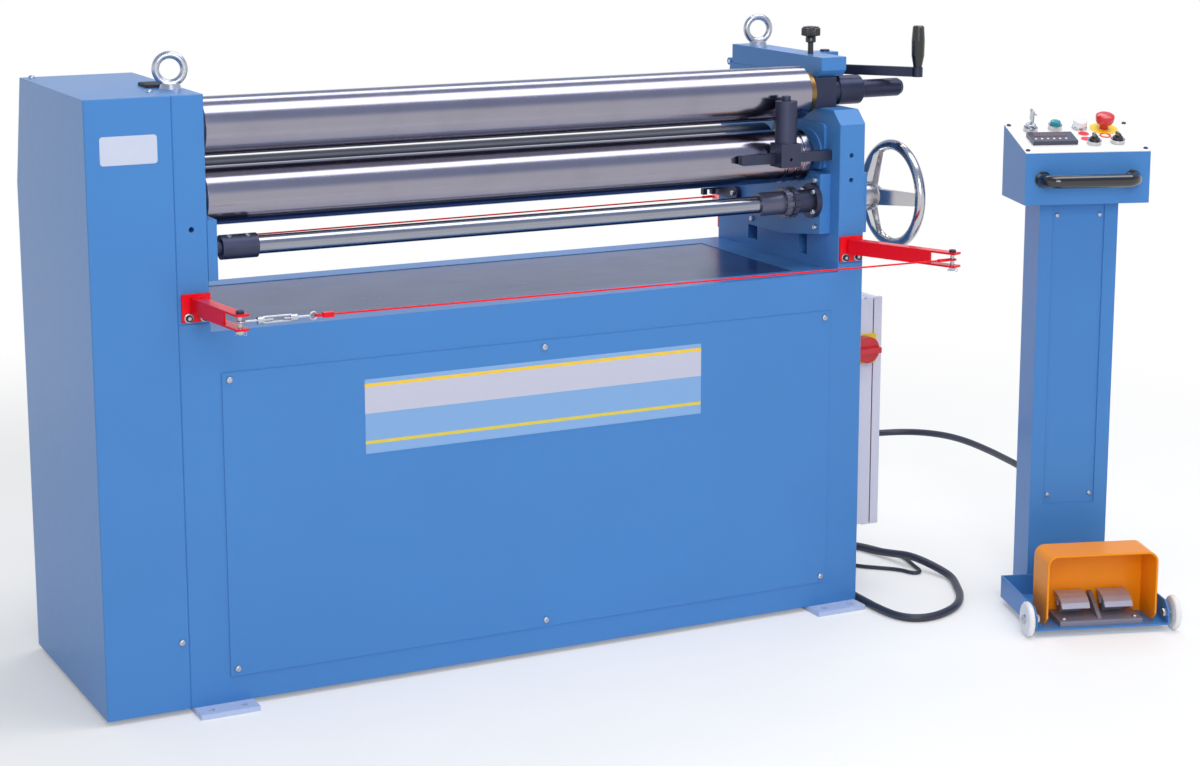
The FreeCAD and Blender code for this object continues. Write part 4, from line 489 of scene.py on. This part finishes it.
def pan_head(radius, height):
    """Profile of a domed screw head with a cross recess, standing on height 0."""
    arm, waist = radius * 0.55, radius * 0.16
    return [(radius, 0.0), (radius, height * 0.35), (radius * 0.93, height * 0.68), (radius * 0.74, height * 0.93),
            (radius * 0.6, height), (cross(arm, waist, 1.0), height), (cross(arm, waist, 0.85), height * 0.35),
            (cross(arm, waist, 0.4), height * 0.3)]


def socket_head(radius, height):
    """Profile of a cap screw head with a hexagon socket."""
    return [(radius, 0.0), (radius, height * 0.85), (radius * 0.92, height), (radius * 0.62, height),
            (hexagon(radius * 0.55), height * 0.98), (hexagon(radius * 0.52), height * 0.35)]


def heads(name, profile, spots, material, body="root", place=Matrix()):
    """One piece with a head at each spot: a point in millimetres and the direction that it faces."""
    def make(shape):
        for point, direction in spots:
            stand = along(Vector(point) * MM, direction, HEAD_STEP * (sum(point) % 5))
            lathe(shape, profile, place @ stand, 24)
    piece(name, make, material, body)


# ---- console frame -------------------------------------------------------------------------------------------
CONSOLE_PLACE = Matrix.Translation((1.1475, -0.4329, 0.0)) @ Matrix.Rotation(math.radians(-18.3), 4, "Z")
CONSOLE_TURN = CONSOLE_PLACE.to_3x3()
PLATE_SLOPE = math.atan2(41, 150)
PLATE = CONSOLE_PLACE @ Matrix.Translation((0, -0.045, 0.972)) @ Matrix.Rotation(PLATE_SLOPE, 4, "X")
PLATE_OUT = PLATE.to_3x3() @ Vector(UP)

# Places on the control plate, in millimetres: to the right and up the slope.
CONTROL_SPOTS = {"key": (-88, 119), "start": (-33, 125), "lamp": (21, 126), "stop": (72, 120),
                 "selector_a": (25, 42), "selector_b": (77, 46)}
DISPLAY_TOP = 11.0
SELECTOR_TOP = 23


def on_plate(x, across, lift=2.0):
    """Frame on the control plate: X to the right, Y up the slope, Z out of it; all in millimetres."""
    return PLATE @ Matrix.Translation((x * MM, across * MM, lift * MM))


# ---- cables: points in millimetres, from the exit to the far end ---------------------------------------------
WALL_EXIT = 763.0
CABINET_EXIT = 96.0
COLUMN_EXIT = CONSOLE_PLACE @ Vector((-0.050, 0.122, 0.252)) * MM_PER_METRE
COLUMN_OUT = CONSOLE_TURN @ Vector((0, 1, 0))

CONSOLE_CABLE = [
    (WALL_EXIT, 225, 236), (838, 225, 236), (960, 227, 232), (1093, 223, 229), (1163, 190, 232), (1193, 110, 240),
    (1199, 20, 245), (1190, -90, 246), (1173, -170, 249), (1159, -228, 252),
    tuple(COLUMN_EXIT + COLUMN_OUT * 40), tuple(COLUMN_EXIT),
]
FLOOR_CABLE = [
    (WALL_EXIT, 165, 50), (806, 165, 50), (862, 152, 30), (912, 126, 12), (953, 86, 8.6), (968, 34, 9),
    (979, -22, 16), (987, -70, 24), (994, -114, 24), (1007, -160, 16), (1011, -210, 9), (984, -266, 8.6),
    (949, -333, 8.6), (900, -387, 8.6), (846, -415, 8.6), (806, -423, 8.6), (772, -414, 8.6), (751, -386, 8.6),
    (744, -335, 8.6), (745, -270, 8.6), (748, -200, 8.6), (752, -140, 10), (757, -98, 22), (762, -70, 46),
    (764, -60, 70), (764, -60, CABINET_EXIT),
]
THIN_CABLE = [
    (800, 70, CABINET_EXIT), (800, 70, 74), (804, 64, 48), (815, 50, 22), (838, 22, 7), (866, -18, 4.6),
    (886, -46, 4.6), (912, -70, 4.6), (936, -92, 4.6), (949, -111, 4.6), (954, -130, 4.6), (964, -140, 4.6),
    (977, -137, 4.6), (984, -123, 4.6), (989, -98, 4.6), (998, -66, 4.6), (1007, -30, 4.6), (1004, 10, 4.6),
    (990, 56, 4.6), (975, 98, 4.6), (950, 138, 4.6), (912, 168, 7), (866, 188, 20), (824, 198, 36),
    (WALL_EXIT + 26, 200, 44), (WALL_EXIT, 200, 44),
]


def cable(name, node, points, diameter, material):
    """Cable as one smooth spline that goes back into the object at its far end."""
    data = bpy.data.curves.new(name, "CURVE")
    data.dimensions = "3D"
    data.resolution_u = 12
    data.bevel_depth = diameter / 2
    data.bevel_resolution = 6
    spline = data.splines.new("NURBS")
    spline.points.add(len(points) - 1)
    for point, place in zip(spline.points, points):
        point.co = (place[0] * MM, place[1] * MM, place[2] * MM, 1.0)
    spline.order_u = 3
    spline.use_endpoint_u = True
    data.materials.append(material)
    made = bpy.data.objects.new(name, data)
    bpy.context.scene.collection.objects.link(made)
    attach(made, "root")
    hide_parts(node)
    tuple(part * MM for part in points[0])


# ---- settings ------------------------------------------------------------------------------------------------
def colour_property(name, description, default):
    return FloatVectorProperty(name=name, description=description, subtype="COLOR", min=0.0, max=1.0,
                               default=default)


class SlipRollColours(bpy.types.PropertyGroup):
    """Paint colours of the machine."""

    enamel: colour_property("Enamel", "Machine enamel of the frame and console", linear(72, 131, 197))
    cabinet: colour_property("Cabinet", "Powder coat of the electrical cabinet", linear(220, 220, 234))
    guard: colour_property("Guard", "Paint of the trip arms and wire", linear(232, 10, 30))
    hood: colour_property("Hood", "Paint of the pedal hood", linear(244, 146, 16))


class SlipRollSizes(bpy.types.PropertyGroup):
    """Sizes of the plates that carry no words."""

    banner_width: FloatProperty(name="Banner width", description="Striped banner on the front panel",
                                unit="LENGTH", default=0.728)
    banner_height: FloatProperty(name="Banner height", description="Height of the striped banner", unit="LENGTH",
                                 default=0.145)
    cover_plate: FloatProperty(name="Cover plate width", description="Bare plate on the drive cover",
                               unit="LENGTH", default=0.105)


class SlipRollStudio(bpy.types.PropertyGroup):
    """Camera and light."""

    camera_place: FloatVectorProperty(name="Camera", description="Place of the camera", unit="LENGTH",
                                      default=(-2.0444, -4.5158, 1.6363))
    camera_yaw: FloatProperty(name="Yaw", description="Turn of the camera to the right", unit="ROTATION",
                              default=math.radians(27.034))
    camera_pitch: FloatProperty(name="Pitch", description="How far the camera looks down", unit="ROTATION",
                                default=math.radians(11.265))
    lens: FloatProperty(name="Lens", description="Focal length in millimetres", default=74.18)
    lamp_level: FloatProperty(name="Lamps", description="Strength of the lamps against the plain level",
                              default=1.0)


# ---- operators -----------------------------------------------------------------------------------------------
class Maker(bpy.types.Operator):
    """Shared start of every operator: the finishes."""

    bl_idname = "sliproll.maker"
    bl_label = "Shared start"
    shared = {}

    def finishes(self, context):
        if "finishes" not in Maker.shared:
            Maker.shared["finishes"] = Finishes(context.scene.slip_roll_colours)
        return Maker.shared["finishes"]


class SLIPROLL_OT_frame(Maker):
    """Finish the base, uprights, cover, cap and brackets"""

    bl_idname = "sliproll.frame"
    bl_label = "Frame"

    def execute(self, context):
        finishes = self.finishes(context)
        give(finishes.blue, "base_cabinet", "left_upright", "right_upright", "drive_cover", "top_cap",
             "access_panels", "bearing_housings")
        give(finishes.tray, "drip_tray")
        give(finishes.foot, "foot_plates")
        give(finishes.zinc, "cap_lifting_eye", "left_lifting_eye")
        flange = within((0.63, -0.24, 0.81), (0.6498, -0.14, 0.92))
        stop_bracket = within((0.62, 0.145, 0.82), (0.6751, 0.245, 0.852))
        for test in (flange, stop_bracket):
            give_where(finishes.black, "bearing_housings", test)
        self.cap_knob(finishes)
        return {"FINISHED"}

    def cap_knob(self, finishes):
        """Fluted knob on its screw through the cap."""
        low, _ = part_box("cap_knob_screw")

        def flutes(angle):
            return 0.0193 + 0.0007 * math.cos(28 * angle)
        profile = [(0.0052, low[2]), (0.006, low[2] + 0.001), (0.006, 1.1835), (0.0098, 1.1844), (0.011, 1.1856),
                   (0.011, 1.1932), (0.0104, 1.1944), (0.0112, 1.1968), (0.0185, 1.1984), (flutes, 1.1992),
                   (flutes, 1.2126), (0.0190, 1.2142), (0.0172, 1.2152), (0.0166, 1.2172), (0.0120, 1.2174),
                   (0.0110, 1.2166), (0.0040, 1.2164)]
        foot = Matrix.Translation(KNOB_AXIS)
        knob = piece("fluted_cap_knob", lambda shape: lathe(shape, profile, foot, 168), finishes.knob_black,
                     "cap_screw_unit")
        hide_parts("cap_knob_screw")


class SLIPROLL_OT_plates(Maker):
    """Lay the striped banner, the bare plate and a dark sheet on the notch in the cover's top, painted shade for
    the slot
    """

    bl_idname = "sliproll.plates"
    bl_label = "Banner and plates"

    def execute(self, context):
        finishes = self.finishes(context)
        sizes = context.scene.slip_roll_sizes
        banner = facing_front(-13.5, PANEL_FACE, 532)
        bare = facing_front(-815.5, COVER_FACE, 1066)
        notch = Matrix.Translation((-0.7125, -0.075, COVER_TOP * MM))
        for name, measures, place, lip, material, slot in (
            ("striped_banner", (sizes.banner_width, sizes.banner_height, FILM, 0.002), banner, 0.0003,
             finishes.banner, "white_plate"),
            ("bare_cover_plate", (sizes.cover_plate, 0.052, FILM, 0.006), bare, 0.0003,
             finishes.bare_plate, "white_plate"),
            # dark sheet lying on the notch: painted shade for the slot in the cover's top
            ("notch_shade_sheet", (0.045, 0.060, 0.0060, 0.004), notch, 0.0015, finishes.rubber, "black_plastic"),
        ):
            piece(name, lambda shape: rounded_plate(shape, *measures, place, lip), material)
        return {"FINISHED"}


class SLIPROLL_OT_rolls(Maker):
    """Finish the rolls, their bearings and gears"""

    bl_idname = "sliproll.rolls"
    bl_label = "Rolls"

    def execute(self, context):
        finishes = self.finishes(context)
        give(finishes.roll, "upper_roll", "lower_roll")
        # the rear roll takes the dark copy of the roll steel: painted shade
        give(finishes.roll_painted_dark_shade, "rear_roll")
        give(finishes.bronze, "upper_roll_bushes")
        give(finishes.black_fine, "upper_right_bearing", "release_handle")
        give(finishes.black, "lower_bearing_blocks", "rear_bearing_blocks")
        give_where(finishes.blue, "lower_bearing_blocks", lambda place: 0.6645 < abs(place.x) < 0.6752)
        give(finishes.gear, "upper_roll_gear", "lower_roll_gear", "main_gear", "drive_pinion")
        give(finishes.casting, "gear_motor")
        return {"FINISHED"}


class SLIPROLL_OT_pinch_drive(Maker):
    """Finish the connecting rod, clutch and handwheel"""

    bl_idname = "sliproll.pinch_drive"
    bl_label = "Pinch drive"

    def execute(self, context):
        finishes = self.finishes(context)
        give(finishes.steel, "connecting_rod")
        give_where(finishes.black, "connecting_rod", lambda place: place.x < -0.562)
        lean, sleeve_radius = math.radians(67), 22.4
        out = Vector((0, -math.cos(lean), math.sin(lean)))
        spots = [(Vector((x, ROD_Y, ROD_Z)) + out * sleeve_radius, out) for x in (-618, -582)]
        heads("sleeve_set_screws", socket_head(0.0048, 0.0022), spots, finishes.zinc, "rod_unit")
        give(finishes.worn_oxide, "clutch_half")
        give(finishes.black, "handwheel_shaft")
        give(finishes.chrome, "handwheel")
        return {"FINISHED"}


class SLIPROLL_OT_crank(Maker):
    """Finish the crank of the rear roll and the cone guide"""

    bl_idname = "sliproll.crank"
    bl_label = "Crank and cone guide"

    def execute(self, context):
        finishes = self.finishes(context)
        give(finishes.black_fine, "crank_arm")
        give(finishes.knob_black, "crank_grip")
        give(finishes.black, "cone_guide_bar", "cone_guide_block", "cone_guide_roller")
        return {"FINISHED"}


class SLIPROLL_OT_guard(Maker):
    """Finish the trip arms and wire"""

    bl_idname = "sliproll.guard"
    bl_label = "Trip wire"

    def execute(self, context):
        finishes = self.finishes(context)
        give(finishes.red, "trip_arms", "trip_wire")
        piece("cotter_pins", self.cotters, finishes.zinc)
        return {"FINISHED"}

    @staticmethod
    def cotters(shape):
        """A split pin through each clevis pin: an eye and two legs that spread at their ends."""
        level, thick, spread = 0.7553, 0.0006, 0.0022
        for x, y in CLEVIS_PINS:
            foot = Matrix.Translation((x * MM, y * MM, level)) @ Matrix.Rotation(math.radians(-25), 4, "Z")
            eye = foot @ Matrix.Translation((0.0085, 0, 0)) @ Matrix.Rotation(math.pi / 2, 4, "X")
            wire(shape, circle(eye, 0.0028, 16), thick, closed=True)
            for side in (-1, 1):
                leg = ((0.006, side * thick), (-0.006, side * thick), (-0.010, side * spread))
                wire(shape, [foot @ Vector((reach, 0, lift)) for reach, lift in leg], thick)


class SLIPROLL_OT_fasteners(Maker):
    """Finish the screws, pins, glands and turnbuckles"""

    bl_idname = "sliproll.fasteners"
    bl_label = "Fasteners"

    def execute(self, context):
        finishes = self.finishes(context)
        give(finishes.zinc, "fasteners")
        for points in (CONSOLE_CABLE, FLOOR_CABLE, THIN_CABLE):
            for end in (points[0], points[-1]):
                give_where(finishes.gland, "fasteners", near(Vector(end) * MM, 0.034))
        for x, y in CLEVIS_PINS:
            give_where(finishes.black_fine, "fasteners", near((x * MM, y * MM, 0.7945), 0.009))
        for spot in ("key", "start", "selector_a", "selector_b"):
            bezel = on_plate(*CONTROL_SPOTS[spot], 5).translation
            give_where(finishes.chrome, "fasteners", near(bezel, 0.022))
        self.machine_heads(finishes)
        self.console_heads(finishes)
        return {"FINISHED"}

    def machine_heads(self, finishes):
        """Screw heads of the panel, cover, bearings and trip brackets."""
        cover_screw, bearing_bolt = pan_head(0.0064, 0.0042), socket_head(0.0054, 0.0058)
        panel = [((x, PANEL_FACE, z), FRONT) for x in (-643, 0, 643) for z in (74, 631)]
        heads("panel_screw_heads", cover_screw, panel + [((-749, COVER_FACE, 141), FRONT)], finishes.zinc)
        cover = [((-875, 180, COVER_TOP), UP), ((-749, -165, COVER_TOP), UP)]
        heads("cover_screw_heads", cover_screw, cover, finishes.zinc)
        bearing = [((GEAR_PLATE_FACE, y, z), LEFT) for y, z in ((58, 795), (-200, 813), (-200, 911), (-154, 911))]
        for turn in (45, 135, 225, 315):
            across, up = FLANGE_BOLTS * math.cos(math.radians(turn)), FLANGE_BOLTS * math.sin(math.radians(turn))
            bearing.append(((FLANGE_FACE, ROD_Y + across, ROD_Z + up), LEFT))
        stop_bracket = ((663, 164, 836), LEFT)
        heads("bearing_bolt_heads", bearing_bolt, bearing + [stop_bracket], finishes.zinc)
        brackets = [((x, side * BRACKET_FACE, 754), (0, side, 0)) for x in (-717, -687, 688, 718)
                    for side in (-1, 1)]
        washer = [(0.0085, 0.0), (0.0085, 0.0011), (0.0080, 0.0014), (0.0060, 0.0014)]
        heads("bracket_washers", washer, brackets, finishes.zinc)
        heads("bracket_bolt_heads", socket_head(0.0066, 0.0068), brackets, finishes.black_fine)

    def console_heads(self, finishes):
        """Screw heads of the console's lid, pedal base and control plate."""
        lid = [((x, 3, z), FRONT) for x in (-46, 46) for z in (235, 835)]
        heads("console_lid_heads", pan_head(0.0046, 0.0032), lid, finishes.zinc, place=CONSOLE_PLACE)
        base = [((x, -214, 29), UP) for x in (-76, 76)]
        heads("pedal_base_heads", pan_head(0.0058, 0.0042), base, finishes.zinc, place=CONSOLE_PLACE)
        corners = [(on_plate(x, across).translation * MM_PER_METRE, PLATE_OUT) for x in (-126, 126)
                   for across in (12, 148)]
        heads("control_plate_heads", pan_head(0.0050, 0.0026), corners, finishes.black_fine)


class SLIPROLL_OT_cabinet(Maker):
    """Finish the electrical cabinet"""

    bl_idname = "sliproll.cabinet"
    bl_label = "Cabinet"

    def execute(self, context):
        finishes = self.finishes(context)
        give(finishes.grey, "cabinet_case", "cabinet_door")
        give_where(finishes.gasket, "cabinet_door", lambda place: place.x < 0.8649)
        give(finishes.casting, "switchgear")
        give(finishes.red_plastic, "main_switch_knob")
        return {"FINISHED"}


class SLIPROLL_OT_console(Maker):
    """Finish the console and its controls"""

    bl_idname = "sliproll.console"
    bl_label = "Console"

    def execute(self, context):
        finishes = self.finishes(context)
        give(finishes.blue, "console_box", "console_stand")
        give(finishes.white, "control_plate")
        give(finishes.handle_black, "console_handle")
        give(finishes.zinc, "key_switch")
        give(finishes.teal, "start_button")
        give(finishes.red_plastic, "emergency_stop")
        give(finishes.knob_black, "selector_a", "selector_b")
        give(finishes.yellow, "panel_fittings")
        display = within((-0.108, 0.037, 0.0019), (-0.010, 0.089, 0.0112))
        away = PLATE.inverted()
        give_where(finishes.display_case, "panel_fittings", lambda place: display(away @ place))
        lamp = on_plate(*CONTROL_SPOTS["lamp"], 8).translation
        give_where(finishes.lamp_white, "panel_fittings", near(lamp, 0.024))
        give(finishes.wheel_white, "left_console_wheel", "right_console_wheel")
        give(finishes.orange, "pedal_hood")
        give(finishes.pedal_base, "pedal_base")
        give(finishes.pad, "left_pedal", "right_pedal")
        self.controls(finishes)
        self.hub_nuts(finishes)
        return {"FINISHED"}

    def hub_nuts(self, finishes):
        """Washer and nut on the end of each wheel's axle."""
        profile = [(0.0105, -0.0005), (0.0105, 0.0010), (0.0092, 0.0022), (0.0060, 0.0024),
                   (hexagon(0.0055), 0.0026), (hexagon(0.0055), 0.0052), (0.0040, 0.0058)]
        for side, name in ((-1, "left"), (1, "right")):
            hub = along(CONSOLE_PLACE @ Vector((side * 0.162, -0.221, 0.036)), CONSOLE_TURN @ Vector((side, 0, 0)))
            piece(name + "_hub_nut", lambda shape: lathe(shape, profile, hub, 36), finishes.zinc,
                  name + "_wheel_unit")

    def controls(self, finishes):
        """Window and keys of the display, lamp ring, bare ovals, pointers and the key ring."""
        window = on_plate(-62, 72, DISPLAY_TOP)
        piece("display_window", lambda shape: rounded_plate(shape, 0.070, 0.016, 0.0007, 0.001, window),
              finishes.window)

        def keys(shape):
            for i in range(6):
                lathe(shape, [(0.0026, 0.0), (0.0026, 0.0006), (0.0018, 0.0012), (0.0008, 0.0013)],
                      on_plate(-98 + 13 * i, 51, DISPLAY_TOP), 16)
        piece("display_keys", keys, finishes.wheel_white)

        ring = [(0.0156, 0.0), (0.0158, 0.0008), (0.0158, 0.0058), (0.0154, 0.0064), (0.0150, 0.0066)]
        piece("lamp_ring", lambda shape: lathe(shape, ring, on_plate(*CONTROL_SPOTS["lamp"]), 48),
              finishes.chrome)

        def ovals(shape):
            for x, across in ((20, 96), (17, 68)):
                rounded_plate(shape, 0.023, 0.022, 0.0006, 0.0109, on_plate(x, across), 0.0002)
            wire(shape, circle(on_plate(63, 83, 2.3), 0.0104, 36), 0.0017, closed=True)
        piece("bare_ovals", ovals, finishes.print_red)

        for spot in ("selector_a", "selector_b"):
            top = on_plate(*CONTROL_SPOTS[spot], SELECTOR_TOP)
            piece(spot + "_line",
                  lambda shape: slab(shape, (-0.0006, 0.001, 0), (0.0006, 0.0095, 0.0004), top, 0.0001),
                  finishes.wheel_white, spot + "_unit")

        x, across = CONTROL_SPOTS["key"]
        loop = on_plate(x, across - 6, 44) @ Matrix.Rotation(math.radians(35), 4, "Y")
        piece("key_ring", lambda shape: wire(shape, circle(loop, 0.0095), 0.0007, closed=True),
              finishes.chrome, "key_unit")


class SLIPROLL_OT_cables(Maker):
    """Lay the console cable, the floor cable and the thin cable"""

    bl_idname = "sliproll.cables"
    bl_label = "Cables"

    def execute(self, context):
        sheath = self.finishes(context).sheath
        cable("console_cable_sheath", "console_cable", CONSOLE_CABLE, 0.015, sheath)
        cable("floor_cable_sheath", "floor_cable", FLOOR_CABLE, 0.017, sheath)
        cable("thin_cable_sheath", "thin_cable", THIN_CABLE, 0.009, sheath)
        return {"FINISHED"}


class SLIPROLL_OT_stage(Maker):
    """Set up the floor, the light and the camera"""

    bl_idname = "sliproll.stage"
    bl_label = "Studio"

    def execute(self, context):
        studio = context.scene.slip_roll_studio
        self.floor()
        self.world(context.scene)
        self.lamps(studio.lamp_level)
        self.camera(context.scene, studio)
        context.scene.view_settings.view_transform = "Standard"
        return {"FINISHED"}

    def floor(self):
        """Pale floor that takes shadows near the machine and fades to white away from it."""
        finish = Finish("pale_floor", specular_ior_level=0.2)
        grain = finish.noise(finish.place(), 3.0, 2.0)
        finish.set(base_color=finish.mix(grain, (0.9, 0.9, 0.9, 1), (0.94, 0.94, 0.94, 1)),
                   roughness=0.55 + grain * 0.1)
        seen = finish.seen()
        away = finish.node("ShaderNodeVectorMath", {"operation": "LENGTH"}, {0: finish.place()}, output="Value")
        least, fade_from, fade_to = 0.25, 1.7, 3.3
        share = seen * (away.ramp(fade_from, fade_to) * (1 - least) + least)
        white = finish.node("ShaderNodeEmission", None, {"Color": WHITE, "Strength": 1.0})
        both = finish.node("ShaderNodeMixShader", None, {0: share, 2: white})
        finish.tree.links.new(finish.surface.outputs[0], both.socket.node.inputs[1])
        finish.tree.links.new(both.socket, finish.tree.nodes["Material Output"].inputs["Surface"])
        mesh = bpy.data.meshes.new("floor")
        half = 30.0
        mesh.from_pydata([(-half, -half, 0), (half, -half, 0), (half, half, 0), (-half, half, 0)], [],
                         [(0, 1, 2, 3)])
        mesh.materials.append(finish.material)
        floor = bpy.data.objects.new("floor", mesh)
        bpy.context.scene.collection.objects.link(floor)

    def world(self, scene):
        """Soft even light; the room that is seen goes from white at the horizon to a dim blue ceiling."""
        world = bpy.data.worlds.new("studio")
        scene.world = world
        world.use_nodes = True
        world.node_tree.nodes.clear()
        sky = Finish("studio", world.node_tree)
        height = sky.height(sky.node("ShaderNodeTexCoord", output="Generated"))
        room = sky.mix(height.ramp(0.07, 0.42), WHITE, (0.42, 0.48, 0.64, 1))
        light = sky.node("ShaderNodeBackground", None, {"Color": (0.97, 0.985, 1.0, 1), "Strength": 0.55})
        shown = sky.node("ShaderNodeBackground", None, {"Color": room, "Strength": 1.0})
        both = sky.node("ShaderNodeMixShader", None, {0: sky.seen(), 1: light, 2: shown})
        sky.node("ShaderNodeOutputWorld", None, {0: both})

    def lamps(self, level):
        """Area lamps: name, place, the point each looks at, size and watts."""
        for name, place, aim, (width, depth), watts in (
            ("key", (-1.1, -4.4, 2.6), (0.2, 0.0, 0.6), (2.0, 2.0), 76.0),
            ("front_softbox", (1.5, -1.15, 4.1), (1.5, -1.15, 0.0), (3.8, 1.9), 76.0),
            ("back_softbox", (1.7, 1.9, 4.1), (1.7, 1.9, 0.0), (3.4, 1.2), 45.0),
        ):
            data = bpy.data.lights.new(name, "AREA")
            data.shape = "RECTANGLE"
            data.size = width
            data.size_y = depth
            data.energy = watts * level
            lamp = bpy.data.objects.new(name, data)
            lamp.matrix_world = along(place, Vector(place) - Vector(aim))
            bpy.context.scene.collection.objects.link(lamp)

    def camera(self, scene, studio):
        data = bpy.data.cameras.new("camera")
        data.sensor_width = 36.0
        data.lens = studio.lens
        data.shift_x, data.shift_y = -0.0037, -0.0566
        data.clip_end = 100.0
        camera = bpy.data.objects.new("camera", data)
        pitch = Matrix.Rotation(math.pi / 2 - studio.camera_pitch, 4, "X")
        turn = Matrix.Rotation(-studio.camera_yaw, 4, "Z") @ pitch
        camera.matrix_world = Matrix.Translation(studio.camera_place) @ turn
        scene.collection.objects.link(camera)
        scene.camera = camera


class SLIPROLL_PT_panel(bpy.types.Panel):
    """Buttons for every group of pieces"""

    bl_idname = "SLIPROLL_PT_panel"
    bl_label = "Slip roll machine"
    bl_space_type = "VIEW_3D"
    bl_region_type = "UI"
    bl_category = "Slip Roll"

    def draw(self, context):
        for maker in MAKERS:
            self.layout.operator(maker.bl_idname)


GROUPS = (SlipRollColours, SlipRollSizes, SlipRollStudio)
MAKERS = (SLIPROLL_OT_frame, SLIPROLL_OT_plates, SLIPROLL_OT_rolls, SLIPROLL_OT_pinch_drive, SLIPROLL_OT_crank,
          SLIPROLL_OT_guard, SLIPROLL_OT_fasteners, SLIPROLL_OT_cabinet, SLIPROLL_OT_console,
          SLIPROLL_OT_cables, SLIPROLL_OT_stage)


def register():
    for made in GROUPS + MAKERS + (SLIPROLL_PT_panel,):
        bpy.utils.register_class(made)
    bpy.types.Scene.slip_roll_colours = PointerProperty(type=SlipRollColours)
    bpy.types.Scene.slip_roll_sizes = PointerProperty(type=SlipRollSizes)
    bpy.types.Scene.slip_roll_studio = PointerProperty(type=SlipRollStudio)


def unregister():
    for name in ("slip_roll_colours", "slip_roll_sizes", "slip_roll_studio"):
        delattr(bpy.types.Scene, name)
    for made in reversed(GROUPS + MAKERS + (SLIPROLL_PT_panel,)):
        bpy.utils.unregister_class(made)


def main():
    register()
    for maker in MAKERS:
        group, action = maker.bl_idname.split(".")
        getattr(getattr(bpy.ops, group), action)()


if __name__ == "__main__":
    main()
